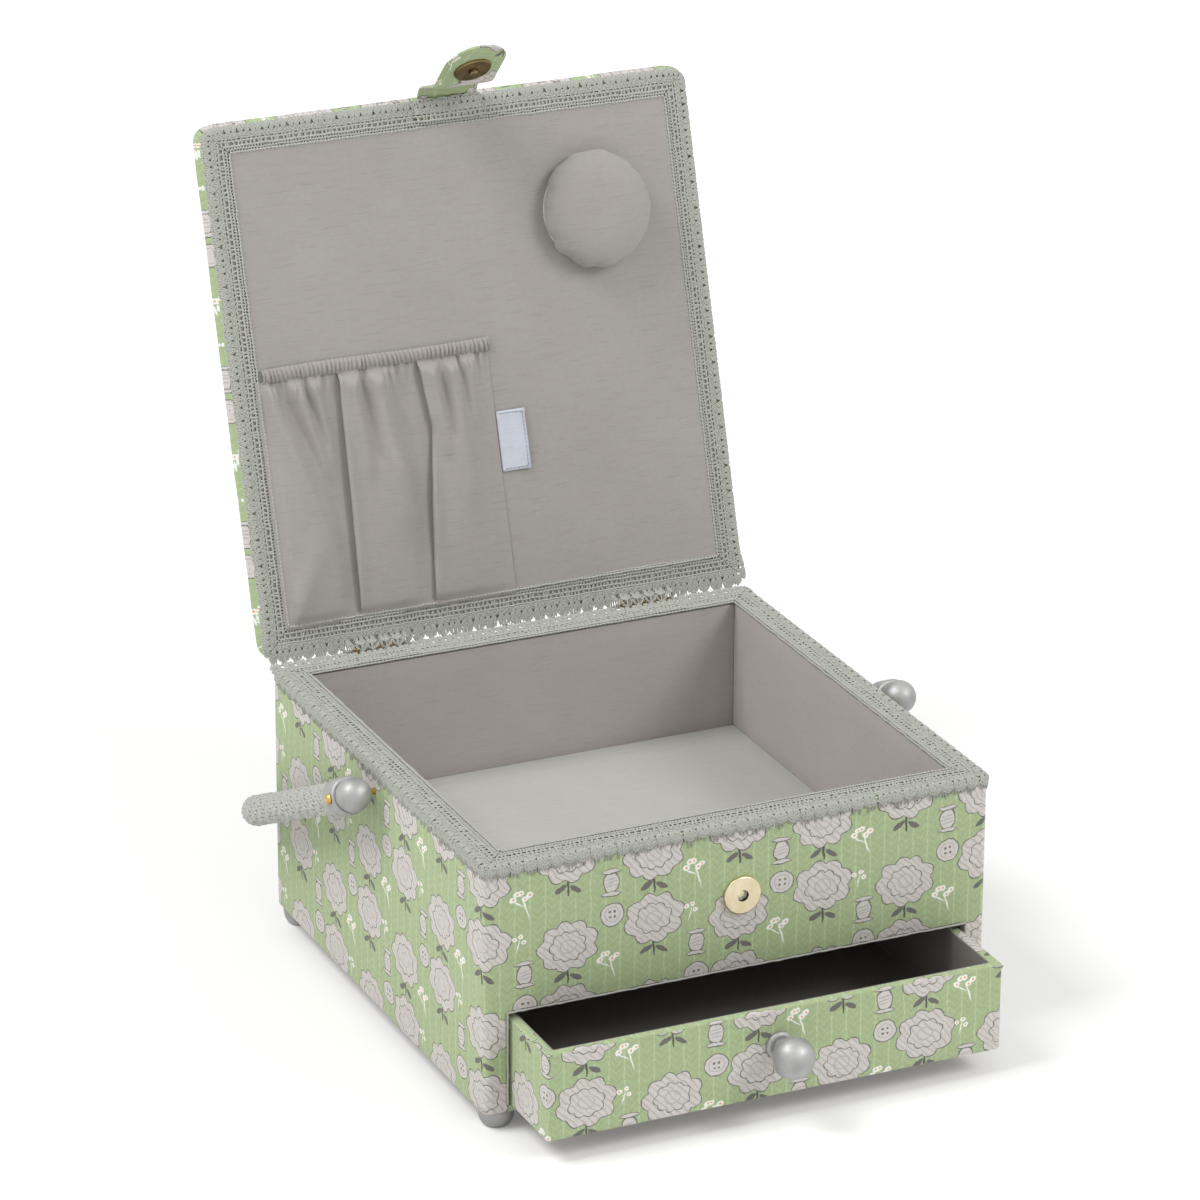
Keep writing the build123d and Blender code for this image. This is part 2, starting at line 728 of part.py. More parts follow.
with BuildPart() as foot_screws:
    for centre in foot_centres.values():
        with BuildSketch(turning_plane(centre, (0, 0, -1), (1, 0, 0))):
            head = foot_height - screw_recess
            Polygon((soft_gap - base_board_thickness, 0),
                    (soft_gap - base_board_thickness, foot_screw_radius),
                    (head, foot_screw_radius), (head, foot_screw_head - running_clearance),
                    (head + screw_recess / 2, foot_screw_head - running_clearance),
                    (head + screw_recess / 2, 0), align=None)
        revolve(axis=Axis(centre, (0, 0, 1)))
keep(foot_screws, "foot_screws")

# Drawer: front and back over the sides, on a bottom board
drawer_half = inner_half_x - drawer_side_clearance
drawer_front_y = -case_depth / 2 - drawer_pulled_out
drawer_back_y = inner_half_y - drawer_back_gap - drawer_pulled_out
drawer_wood_x = drawer_half - drawer_cloth
drawer_wood_front = drawer_front_y + drawer_cloth
drawer_wood_back = drawer_back_y - drawer_cloth
drawer_floor = drawer_underside + drawer_bottom_thickness
drawer_wall_top = drawer_top - drawer_cloth
drawer_inner_x = drawer_wood_x - drawer_board
drawer_inner_front = drawer_wood_front + drawer_board
drawer_inner_back = drawer_wood_back - drawer_board
knob_seat = Vector(0, drawer_front_y, drawer_underside + knob_height)

with BuildPart() as drawer_front:
    with BuildSketch(Plane.XZ.offset(-drawer_wood_front)):
        with Locations((0, (drawer_floor + drawer_wall_top) / 2)):
            Rectangle(2 * drawer_wood_x, drawer_wall_top - drawer_floor)
        with Locations((0, knob_seat.Z)):
            Circle(knob_screw_radius, mode=Mode.SUBTRACT)
    extrude(amount=-drawer_board)
    fillet(drawer_front.edges().filter_by(Axis.Z).group_by(Axis.Y)[0],
           drawer_corner - drawer_cloth)
keep(drawer_front, "drawer_front")

with BuildPart() as drawer_back:
    with BuildSketch(Plane.XZ.offset(-drawer_inner_back)):
        with Locations((0, (drawer_floor + drawer_wall_top) / 2)):
            Rectangle(2 * drawer_wood_x, drawer_wall_top - drawer_floor)
    extrude(amount=-drawer_board)
    fillet(drawer_back.edges().filter_by(Axis.Z).group_by(Axis.Y)[-1],
           drawer_corner - drawer_cloth)
keep(drawer_back, "drawer_back")
slab("drawer_left_side", (-drawer_wood_x, drawer_inner_front, drawer_floor),
     (-drawer_inner_x, drawer_inner_back, drawer_wall_top))
slab("drawer_right_side", (drawer_inner_x, drawer_inner_front, drawer_floor),
     (drawer_wood_x, drawer_inner_back, drawer_wall_top))

with BuildPart() as drawer_bottom:
    with BuildSketch(Plane.XY.offset(drawer_underside)):
        plan_rectangle(drawer_wood_x, drawer_wood_front, drawer_wood_back,
                       drawer_corner - drawer_cloth)
    extrude(amount=drawer_bottom_thickness)
keep(drawer_bottom, "drawer_bottom")

liner = drawer_liner_thickness
with BuildPart() as drawer_cover:
    with BuildSketch(Plane.XY.offset(drawer_underside)):
        plan_rectangle(drawer_half, drawer_front_y, drawer_back_y, drawer_corner)
        plan_rectangle(drawer_wood_x, drawer_wood_front, drawer_wood_back,
                       drawer_corner - drawer_cloth, Mode.SUBTRACT)
    extrude(amount=drawer_height)
    with BuildSketch(Plane.XZ.offset(-drawer_wood_front)):
        with Locations((0, knob_seat.Z)):
            Circle(knob_screw_radius)
    extrude(amount=drawer_cloth, mode=Mode.SUBTRACT)
keep(drawer_cover, "drawer_cover")

# Lining cloth of the drawer, turned out over the top edges of its walls
with BuildPart() as drawer_liner:
    with BuildSketch(Plane.XY.offset(drawer_floor)):
        with Locations((0, (drawer_inner_front + drawer_inner_back) / 2)):
            Rectangle(2 * drawer_inner_x, drawer_inner_back - drawer_inner_front)
    extrude(amount=drawer_top - drawer_floor)
    with BuildSketch(Plane.XY.offset(drawer_wall_top)):
        plan_rectangle(drawer_wood_x, drawer_wood_front, drawer_wood_back,
                       drawer_corner - drawer_cloth)
    extrude(amount=drawer_cloth)
    with BuildSketch(Plane.XY.offset(drawer_floor + liner)):
        plan_rectangle(drawer_inner_x - liner, drawer_inner_front + liner,
                       drawer_inner_back - liner, liner)
    extrude(amount=drawer_height, mode=Mode.SUBTRACT)
    with BuildSketch(Plane.XZ.offset(-drawer_inner_front)):
        with Locations((0, knob_seat.Z)):
            Circle(knob_screw_radius)
    extrude(amount=-liner, mode=Mode.SUBTRACT)
keep(drawer_liner, "drawer_liner")

# Turned knob: a collar, a short neck and a ball with a beaded middle, held by a screw
# from inside
knob_neck = knob_collar_radius * 0.62
back_radius = knob_radius - knob_bead
ball_back = sqrt(back_radius ** 2 - knob_neck ** 2)
knob_bite = knob_reach - ball_back / 2
with BuildPart() as drawer_knob:
    with BuildSketch(turning_plane(knob_seat, forward, (1, 0, 0))):
        with BuildLine():
            Polyline((knob_bite, 0), (knob_bite, knob_screw_radius), (0, knob_screw_radius),
                     (0, knob_collar_radius), (knob_collar_length * 0.6, knob_collar_radius))
            collar = ThreePointArc((knob_collar_length * 0.6, knob_collar_radius),
                                   (knob_collar_length * 0.9, knob_collar_radius * 0.9),
                                   (knob_collar_length, knob_neck))
            Line(collar @ 1, (knob_reach - ball_back, knob_neck))
            RadiusArc((knob_reach - ball_back, knob_neck), (knob_reach, back_radius),
                      back_radius)
            Line((knob_reach, back_radius), (knob_reach, knob_radius))
            RadiusArc((knob_reach, knob_radius), (knob_reach + knob_radius, 0), knob_radius)
            Line((knob_reach + knob_radius, 0), (knob_bite, 0))
        make_face()
    revolve(axis=Axis(knob_seat, forward))
keep(drawer_knob, "drawer_knob")

screw_head = knob_screw_radius * 2
screw_start = -drawer_cloth - drawer_board - liner
with BuildPart() as knob_screw:
    with BuildSketch(turning_plane(knob_seat, forward, (1, 0, 0))):
        with BuildLine():
            dome = cap(screw_start, screw_head, screw_start - knob_screw_radius)
            Polyline(dome @ 0, (screw_start, knob_screw_radius),
                     (knob_bite - knob_screw_radius, knob_screw_radius), (knob_bite, 0),
                     dome @ 1)
        make_face()
    revolve(axis=Axis(knob_seat, forward))
keep(knob_screw, "drawer_knob_screw")

# Handle. Its hoop hangs back and down from the pivot screws, just clear of the case's
# back corners, which its bends would rest on.
drop = radians(handle_drop)
handle_arm = Vector(0, cos(drop), -sin(drop))
handle_face = Plane(origin=(0, pivot_y, pivot_height), x_dir=(1, 0, 0),
                    z_dir=(0, sin(drop), cos(drop)))
arm_x = case_width / 2 + handle_offset
corner_cut = corner_radius * (1 - sqrt(0.5))
corner_reach = (case_depth / 2 - corner_cut - pivot_y) / cos(drop)
bend_clear = handle_bend - grip_radius - handle_rest_gap
bend_aside = case_width / 2 - corner_cut - (arm_x - handle_bend)
hoop_reach = corner_reach - sqrt(bend_clear ** 2 - bend_aside ** 2) + handle_bend


def hoop(start, outer, inner):
    """A bent round bar along the hoop, from the same distance out on both arms."""
    with BuildPart() as bar:
        with BuildLine(handle_face) as line:
            FilletPolyline((arm_x, start), (arm_x, hoop_reach), (-arm_x, hoop_reach),
                           (-arm_x, start), radius=handle_bend)
        with BuildSketch(Plane(origin=line.wire() @ 0, z_dir=line.wire() % 0)):
            Circle(outer)
            if inner > 0:
                Circle(inner, mode=Mode.SUBTRACT)
        sweep(path=line.wire())
    return bar


core_start = end_collar_length / 4
keep(hoop(core_start, core_radius, 0), "handle_core")
keep(hoop(end_collar_length, grip_radius, core_radius), "handle_grip")

ball_centre = end_ball_radius - end_ball_length
groove = -end_collar_length / 5
groove_radius = end_ball_radius * 0.9
for side, sign in (("left", -1), ("right", 1)):
    end_origin = handle_face.from_local_coords((sign * arm_x, 0, 0))
    with BuildPart() as handle_end:
        with BuildSketch(turning_plane(end_origin, handle_arm, (1, 0, 0))):
            with BuildLine():
                mouth_edge = (end_collar_length, grip_radius)
                Polyline((core_start, 0), (core_start, core_radius),
                         (end_collar_length, core_radius), mouth_edge)
                bell = ThreePointArc(mouth_edge,
                                     (end_collar_length * 0.8, end_collar_radius * 0.93),
                                     (end_collar_length * 0.45, end_collar_radius))
                barrel = Line(bell @ 1, (groove * 0.6, end_collar_radius))
                shoulder = ThreePointArc(barrel @ 1,
                                         (groove * 0.9, end_collar_radius * 0.96),
                                         (groove, groove_radius))
                reach = sqrt(end_ball_radius ** 2 - groove_radius ** 2)
                Line(shoulder @ 1, (ball_centre + reach, groove_radius))
                ThreePointArc((ball_centre + reach, groove_radius),
                              (ball_centre, end_ball_radius), (-end_ball_length, 0))
                Line((-end_ball_length, 0), (core_start, 0))
            make_face()
        revolve(axis=Axis(end_origin, handle_arm))
        with BuildSketch(Plane(origin=end_origin, z_dir=(1, 0, 0))):
            Circle(pivot_radius + running_clearance)
        extrude(amount=end_collar_radius * 2, both=True, mode=Mode.SUBTRACT)
    keep(handle_end, f"handle_end_{side}")

    outward = Vector(sign, 0, 0)
    screw_tip = Vector(sign * (case_width / 2 - pivot_bite), pivot_y, pivot_height)
    head_at = arm_x + end_collar_radius + soft_gap - (case_width / 2 - pivot_bite)
    with BuildPart() as handle_screw:
        with BuildSketch(turning_plane(screw_tip, outward, (0, 0, 1))):
            with BuildLine():
                dome = cap(head_at, pivot_head_radius, head_at + pivot_head_radius * 0.7)
                Polyline(dome @ 1, (0, 0), (pivot_radius, pivot_radius),
                         (head_at, pivot_radius), dome @ 0)
            make_face()
        revolve(axis=Axis(screw_tip, outward))
    keep(handle_screw, f"handle_screw_{side}")
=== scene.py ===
# %% [markdown]
# # Dressing a cloth-covered sewing box
# The frame holds the boards, hinges, screws and turned wood of the box, already in place.
# This lesson lights it like a catalogue photograph, works out each finish from what it really
# is, and makes the soft parts anew: cloth, lace braid, padding and plaited yarn.

# %% Load the frame
import math

import bpy
import bmesh
import numpy as np
from mathutils import Matrix, Vector, noise


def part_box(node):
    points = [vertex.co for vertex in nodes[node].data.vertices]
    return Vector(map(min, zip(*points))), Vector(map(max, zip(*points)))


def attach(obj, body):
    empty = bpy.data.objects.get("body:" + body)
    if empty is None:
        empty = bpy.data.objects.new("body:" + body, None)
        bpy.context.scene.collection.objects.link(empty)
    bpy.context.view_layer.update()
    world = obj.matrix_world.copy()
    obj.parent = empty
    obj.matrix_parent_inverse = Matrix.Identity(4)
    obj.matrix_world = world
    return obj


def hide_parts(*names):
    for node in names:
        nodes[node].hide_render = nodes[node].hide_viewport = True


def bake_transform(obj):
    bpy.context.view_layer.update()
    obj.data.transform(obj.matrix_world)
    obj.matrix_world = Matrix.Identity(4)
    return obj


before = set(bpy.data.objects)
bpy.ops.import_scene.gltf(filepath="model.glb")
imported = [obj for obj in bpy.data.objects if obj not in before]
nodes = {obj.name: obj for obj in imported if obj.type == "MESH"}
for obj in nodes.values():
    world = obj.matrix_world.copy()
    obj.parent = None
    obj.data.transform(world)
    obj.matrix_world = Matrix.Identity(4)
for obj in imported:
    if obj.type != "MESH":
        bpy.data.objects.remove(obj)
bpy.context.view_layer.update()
mm = 0.001

# %% [markdown]
# ## The camera
# The photograph looks down on the box from its left front corner with a long lens, which
# keeps the upright edges nearly parallel. The camera is placed by its own three directions,
# so that its small roll is kept too.

# %% Camera
def add_object(name, data):
    thing = bpy.data.objects.new(name, data)
    bpy.context.scene.collection.objects.link(thing)
    return thing


eye = Vector((-1.0638, -2.2737, 1.1939))
heading, dip, roll = math.radians(-24.82), math.radians(21.98), math.radians(0.254)
ahead = Vector((-math.sin(heading) * math.cos(dip), math.cos(heading) * math.cos(dip), -math.sin(dip)))
level = ahead.cross(Vector((0, 0, 1))).normalized()
upward = level.cross(ahead)
camera_x = level * math.cos(roll) + upward * math.sin(roll)
camera_y = upward * math.cos(roll) - level * math.sin(roll)

camera_data = bpy.data.cameras.new("camera")
camera_data.lens = 176.83
camera_data.sensor_width = 36.0
camera_data.clip_end = 50.0
camera = add_object("camera", camera_data)
camera.matrix_world = Matrix.Translation(eye) @ Matrix((camera_x, camera_y, -ahead)).transposed().to_4x4()
bpy.context.scene.camera = camera
print("camera looks along", [round(c, 4) for c in ahead])

# %% [markdown]
# ## Nodes and colours
# Every finish below is a small network of nodes. One function adds a node with its settings
# and links, and another turns the hex colours that people read off a screen into the linear
# values that the sockets hold.

# %% Helpers for materials
def linear(hex_colour):
    """An sRGB hex colour as the linear RGBA of a colour socket."""
    channels = [int(hex_colour[i:i + 2], 16) / 255 for i in (1, 3, 5)]
    return [c / 12.92 if c <= 0.04045 else ((c + 0.055) / 1.055) ** 2.4 for c in channels] + [1.0]


def fill_sockets(tree, node, inputs):
    """Give each named socket a value, or a link from a socket or from a node's first output."""
    for name, value in inputs.items():
        if isinstance(value, bpy.types.Node):
            value = value.outputs[0]
        if isinstance(value, bpy.types.NodeSocket):
            tree.links.new(value, node.inputs[name])
        else:
            node.inputs[name].default_value = value


def add_node(tree, kind, inputs=None, **settings):
    """Add a node, set its properties, and fill its sockets."""
    node = tree.nodes.new("ShaderNode" + kind)
    for name, value in settings.items():
        setattr(node, name, value)
    fill_sockets(tree, node, inputs or {})
    return node


def new_finish(name, roughness, metallic=0.0):
    """A material with its shader ready, and the two as (material, tree, shader)."""
    material = bpy.data.materials.new(name)
    material.use_nodes = True
    tree = material.node_tree
    shader = tree.nodes["Principled BSDF"]
    fill_sockets(tree, shader, {"Roughness": roughness, "Metallic": metallic})
    return material, tree, shader


print("linear mid grey:", round(linear("#808080")[0], 4))

# %% [markdown]
# ## Light, floor and background
# A product studio is white all round: a broad lamp above and to the left gives the shape, a
# weaker one from the right front fills the shadows, and the room itself adds an even level.
# The floor is white paint. What the camera sees of it is lifted, little by the box and more
# far away, so that it runs into the white background and keeps the shadow under the drawer.

# %% Studio
def soft_lamp(name, place, aim, size, power):
    lamp_data = bpy.data.lights.new(name, "AREA")
    lamp_data.shape = "RECTANGLE"
    lamp_data.size, lamp_data.size_y = size
    lamp_data.energy = power
    lamp = add_object(name, lamp_data)
    lamp.location = place
    lamp.rotation_euler = (Vector(aim) - Vector(place)).to_track_quat("-Z", "Y").to_euler()


middle = (0, 0, 0.12)
soft_lamp("key", (-1.6, 0.1, 2.4), middle, (1.3, 1.3), 43)
soft_lamp("fill", (1.5, -1.7, 2.0), middle, (1.1, 1.1), 30)

world = bpy.data.worlds.new("studio")
world.use_nodes = True
bpy.context.scene.world = world
room = world.node_tree
rays = add_node(room, "LightPath")
seen = add_node(room, "Math", {0: rays.outputs["Is Camera Ray"], 1: rays.outputs["Is Glossy Ray"]},
                operation="MAXIMUM")
seen = add_node(room, "Math", {0: seen, 1: rays.outputs["Is Transmission Ray"]}, operation="MAXIMUM")
strength = add_node(room, "MapRange", {"Value": seen, "To Min": 0.54, "To Max": 1.0})
fill_sockets(room, room.nodes["Background"], {"Color": (1, 1, 1, 1), "Strength": strength})

floor_mesh = bpy.data.meshes.new("floor")
floor_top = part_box("foot_front_left")[0].z
floor_corners = [(x, y, floor_top) for x, y in ((-4, -4), (4, -4), (4, 4), (-4, 4))]
floor_mesh.from_pydata(floor_corners, [], [(0, 1, 2, 3)])
floor = add_object("floor", floor_mesh)
painted_floor, tree, shader = new_finish("matt_white_floor_paint", 0.9)
fill_sockets(tree, shader, {"Base Color": linear("#FAFAF9"), "Specular IOR Level": 0.1})
rays = add_node(tree, "LightPath")
ground_place = add_node(tree, "TexCoord").outputs["Object"]
from_box = add_node(tree, "VectorMath", {0: ground_place}, operation="LENGTH")
faded = add_node(tree, "MapRange", {"Value": from_box.outputs["Value"], "From Min": 0.45, "From Max": 2.2,
                                    "To Min": 0.11, "To Max": 0.75})
glow = add_node(tree, "Emission", {"Strength": faded})
dark = add_node(tree, "Emission", {"Strength": 0.0})
lift = add_node(tree, "MixShader", {0: rays.outputs["Is Camera Ray"], 1: dark, 2: glow})
both = add_node(tree, "AddShader", {0: shader, 1: lift})
fill_sockets(tree, tree.nodes["Material Output"], {"Surface": both})
floor_mesh.materials.append(painted_floor)
print("floor at", round(floor_top / mm, 2), "mm")

# %% [markdown]
# ## Cloth coordinates
# A print is drawn on flat cloth and then wrapped round the box, so each cloth piece carries a
# UV map in real metres of cloth. The print, the weave and the threads all read that one map,
# turned to millimetres, so every scale below is a real size.

# %% Coordinates of cloth and of solid pieces
band_scale = 0.314  # a wave texture of this scale has one band in every millimetre


def cloth_millimetres(tree):
    """Millimetres along the width and the length of the cloth."""
    flat = add_node(tree, "UVMap", uv_map="cloth")
    return add_node(tree, "VectorMath", {0: flat, 1: (1000, 1000, 1000)}, operation="MULTIPLY")


def solid_millimetres(tree):
    """Millimetres in the box's own frame, for pieces with no cloth map."""
    place = add_node(tree, "TexCoord").outputs["Object"]
    return add_node(tree, "VectorMath", {0: place, 1: (1000, 1000, 1000)}, operation="MULTIPLY")


def add_weave(tree, shader, place, thread, depth):
    """Plain weave: two sets of threads at right angles raise the surface in turn."""
    waves = {"Vector": place, "Scale": band_scale / thread, "Distortion": 1.2, "Detail": 1.0,
             "Detail Scale": 0.6}
    across, along = [add_node(tree, "TexWave", waves, bands_direction=axis) for axis in "XY"]
    threads = add_node(tree, "Math", {0: across, 1: along}, operation="MAXIMUM")
    slub = add_node(tree, "TexNoise", {"Vector": place, "Scale": 0.35, "Detail": 4.0})
    height = add_node(tree, "Math", {0: threads, 1: slub}, operation="ADD")
    bump = add_node(tree, "Bump", {"Height": height, "Strength": 0.35, "Distance": depth * mm})
    fill_sockets(tree, shader, {"Normal": bump})
    return threads, slub


print("cloth maps are in metres, patterns in millimetres")

# %% [markdown]
# ## Printed cotton
# The box is covered in a quilting cotton with a toning green ground, drawn like knitted ribs,
# and cream and grey motifs scattered over it. Each motif is painted from back to front with
# soft-edged ellipses, as a stencil printer would lay colours, and a warp turns some into
# petals. The motifs repeat on a brick lattice: each row moves on by half a step, so that no
# straight gaps run across the box.

# %% The lattice and the brush
repeat_width, repeat_height = 84.0, 37.0
ink_cream, ink_grey, ink_stem = "#CFCAC6", "#6E6D69", "#5C5B57"
ink_white, ink_orange, ink_shade = "#EEF0EA", "#E0A060", "#B4AEAA"


def motif_centre(tree, cloth, x, y):
    """Millimetres from the nearest copy of a motif placed at x, y in the repeat."""
    moved = add_node(tree, "VectorMath", {0: cloth, 1: (-x, -y, 0)}, operation="ADD")
    parts = add_node(tree, "SeparateXYZ", {0: moved})
    row = add_node(tree, "Math", {0: parts.outputs["Y"], 1: 1 / repeat_height, 2: 0.5},
                   operation="MULTIPLY_ADD")
    row = add_node(tree, "Math", {0: row}, operation="FLOOR")
    stagger = add_node(tree, "Math", {0: row, 1: repeat_width / 2, 2: parts.outputs["X"]},
                       operation="MULTIPLY_ADD")
    near_x = add_node(tree, "Math", {0: stagger, 1: repeat_width / 2, 2: -repeat_width / 2}, operation="WRAP")
    near_y = add_node(tree, "Math", {0: row, 1: -repeat_height, 2: parts.outputs["Y"]},
                      operation="MULTIPLY_ADD")
    return add_node(tree, "CombineXYZ", {"X": near_x, "Y": near_y})


def paint_ellipse(tree, ground, place, colour, x, y, half_width, half_height, turn=0.0, edge=0.12):
    """Lay one ellipse of ink over the ground colour. Its edge is soft over edge millimetres."""
    inside = add_node(tree, "Mapping", {"Vector": place, "Location": (x, y, 0),
                                        "Rotation": (0, 0, math.radians(turn)),
                                        "Scale": (half_width, half_height, 1)}, vector_type="TEXTURE")
    reach = add_node(tree, "VectorMath", {0: inside}, operation="LENGTH").outputs["Value"]
    soft = edge / min(half_width, half_height)
    share = add_node(tree, "MapRange", {"Value": reach, "From Min": 1 + soft, "From Max": 1 - soft})
    if isinstance(colour, str):
        colour = linear(colour)
    return add_node(tree, "MixRGB", {0: share, 1: ground, 2: colour})


print("repeat", repeat_width, "x", repeat_height, "mm, in bricks")

# %% [markdown]
# ## The motifs
# The largest motif is a round blossom: a ring of cream petals with inked outlines, on a grey
# stem with two leaves. Between them lie things from a work box: a four-hole button, a reel of
# thread, and a white sprig with orange tips. A little noise bends the coordinates first, so
# that the ink has the uneven edge of a hand drawing.

# %% Motif shapes, each as colour, centre, half sizes and turn
def petal_place(tree, place, petals, depth, shift):
    """Bend a motif's millimetres so that a plain ellipse comes out with a petalled edge."""
    parts = add_node(tree, "SeparateXYZ", {0: place})
    turn = add_node(tree, "Math", {0: parts.outputs["Y"], 1: parts.outputs["X"]}, operation="ARCTAN2")
    turn = add_node(tree, "Math", {0: turn, 1: petals / 2, 2: shift}, operation="MULTIPLY_ADD")
    lobe = add_node(tree, "Math", {0: turn}, operation="SINE")
    lobe = add_node(tree, "Math", {0: lobe}, operation="ABSOLUTE")
    size = add_node(tree, "MapRange", {"Value": lobe, "To Min": 1 + depth, "To Max": 1 - depth})
    return add_node(tree, "VectorMath", {0: place, 3: size}, operation="SCALE")


stem = [(ink_stem, 0.0, -14.0, 0.55, 5.2, 4), (ink_grey, -3.6, -14.6, 3.4, 1.35, 32),
        (ink_grey, 3.8, -15.6, 3.2, 1.25, -30)]
petals = [(ink_grey, 0, 0, 14.2, 11.6), ("tuft", 0, 0, 13.7, 11.1), (ink_grey, 0, 0, 8.6, 7.0),
          ("tuft", 0, 0, 8.15, 6.55)]
heart = [(ink_shade, 0, 0, 4.1, 3.4), ("tuft", 0, 0, 3.6, 2.9)]
button = [(ink_grey, 0, 0, 6.0, 5.7), (ink_cream, 0, 0, 5.5, 5.2), (ink_shade, 0, 0, 3.9, 3.7),
          (ink_cream, 0, 0, 3.5, 3.3)]
button += [(ink_grey, x, y, 0.62, 0.62) for x in (-1.2, 1.2) for y in (-1.2, 1.2)]
reel = [(ink_grey, 0, 0, 4.1, 5.6), (ink_cream, 0, 0, 3.6, 4.6), (ink_shade, 0, 1.6, 3.4, 0.28, 8),
        (ink_shade, 0, 0, 3.5, 0.28, 8), (ink_shade, 0, -1.6, 3.4, 0.28, 8),
        (ink_grey, 0, 5.4, 5.0, 1.25), (ink_cream, 0, 5.5, 4.5, 0.8),
        (ink_grey, 0, -5.4, 5.0, 1.25), (ink_cream, 0, -5.3, 4.5, 0.8)]
sprig = [(ink_white, 0.5, -2.5, 0.4, 5.4, 18), (ink_white, -3.2, -0.5, 0.32, 3.2, 58)]
for x, y in ((-5.4, 1.8), (-1.8, 4.6), (2.6, 3.0), (-3.6, 4.4), (0.4, 1.4)):
    sprig += [(ink_white, x, y, 1.7, 1.35, 20), (ink_orange, x + 0.2, y, 0.5, 0.5)]
small_sprig = [(ink_white, 0, -1.6, 0.3, 3.0, -14)]
for x, y in ((-2.0, 1.6), (1.2, 2.6), (2.6, -0.2)):
    small_sprig += [(ink_white, x, y, 1.25, 1.05, 0), (ink_orange, x, y, 0.4, 0.4)]
layout = [(button, 21.5, 14.5), (reel, 63.0, -7.0),
          (sprig, 21.0, -8.5), (small_sprig, 60.0, 9.5)]
blossoms = [(0.0, 3.0, 9, 0.0), (42.0, 9.0, 8, 0.6)]
in_blossoms = len(blossoms) * len(stem + petals + heart)
print(sum(len(shapes) for shapes, x, y in layout) + in_blossoms, "ellipses in one repeat")

# %% Printed cotton
def make_printed_cotton():
    material, tree, shader = new_finish("printed_quilting_cotton", 0.82)
    cloth = cloth_millimetres(tree)
    drift = add_node(tree, "TexNoise", {"Vector": cloth, "Scale": 0.16, "Detail": 3.0, "Roughness": 0.7})
    wander = add_node(tree, "VectorMath", {0: drift.outputs["Color"], 1: (2.4, 2.4, 0), 2: cloth},
                      operation="MULTIPLY_ADD")
    # Knitted ground: ribs 7.3 mm apart, with V stitches 3.6 mm high printed tone on tone.
    parts = add_node(tree, "SeparateXYZ", {0: wander})
    rib = add_node(tree, "Math", {0: parts.outputs["X"], 1: 3.65, 2: 0.0}, operation="PINGPONG")
    slope = add_node(tree, "Math", {0: rib, 1: 1.1, 2: parts.outputs["Y"]}, operation="MULTIPLY_ADD")
    stitch = add_node(tree, "Math", {0: slope, 1: 1.8, 2: 0.0}, operation="PINGPONG")
    ground = add_node(tree, "MapRange", {"Value": stitch, "From Min": 0.15, "From Max": 0.55})
    ground = add_node(tree, "MixRGB", {0: ground, 1: linear("#AFBF94"), 2: linear("#A5B58B")})
    line = add_node(tree, "MapRange", {"Value": rib, "From Min": 0.55, "From Max": 0.2})
    dashes = add_node(tree, "MapRange", {"Value": stitch, "From Min": 0.3, "From Max": 0.7, "To Max": 0.75})
    line = add_node(tree, "Math", {0: line, 1: dashes}, operation="MULTIPLY")
    ground = add_node(tree, "MixRGB", {0: line, 1: ground, 2: linear("#BCD0A6")})
    # Scribbled strokes give the tufts their fleece.
    strokes = add_node(tree, "TexWave", {"Vector": wander, "Scale": 0.17, "Distortion": 9.0, "Detail": 2.0,
                                         "Detail Scale": 0.35}, bands_direction="DIAGONAL")
    strokes = add_node(tree, "MapRange", {"Value": strokes.outputs["Fac"], "From Min": 0.72, "From Max": 0.9})
    tuft = add_node(tree, "MixRGB", {0: strokes, 1: linear("#CFCAC6"), 2: linear("#BDB6B0")})
    for x, y, count, shift in blossoms:
        place = motif_centre(tree, wander, x, y)
        petalled = petal_place(tree, place, count, 0.09, shift)
        for spot, shapes in ((place, stem), (petalled, petals), (place, heart)):
            for colour, *shape in shapes:
                ground = paint_ellipse(tree, ground, spot, tuft if colour == "tuft" else colour, *shape)
    for shapes, x, y in layout:
        place = motif_centre(tree, wander, x, y)
        for colour, *shape in shapes:
            ground = paint_ellipse(tree, ground, place, tuft if colour == "tuft" else colour, *shape)
    threads, slub = add_weave(tree, shader, cloth, 0.5, 0.12)
    fade = add_node(tree, "MapRange", {"Value": slub, "From Min": 0.3, "From Max": 0.7,
                                       "To Min": 0.94, "To Max": 1.05})
    colour = add_node(tree, "VectorMath", {0: ground, 3: fade}, operation="SCALE")
    fill_sockets(tree, shader, {"Base Color": colour, "Sheen Weight": 0.12, "Sheen Roughness": 0.5,
                                "Specular IOR Level": 0.3})
    return material


printed_cotton = make_printed_cotton()
print("printed cotton has", len(printed_cotton.node_tree.nodes), "nodes")
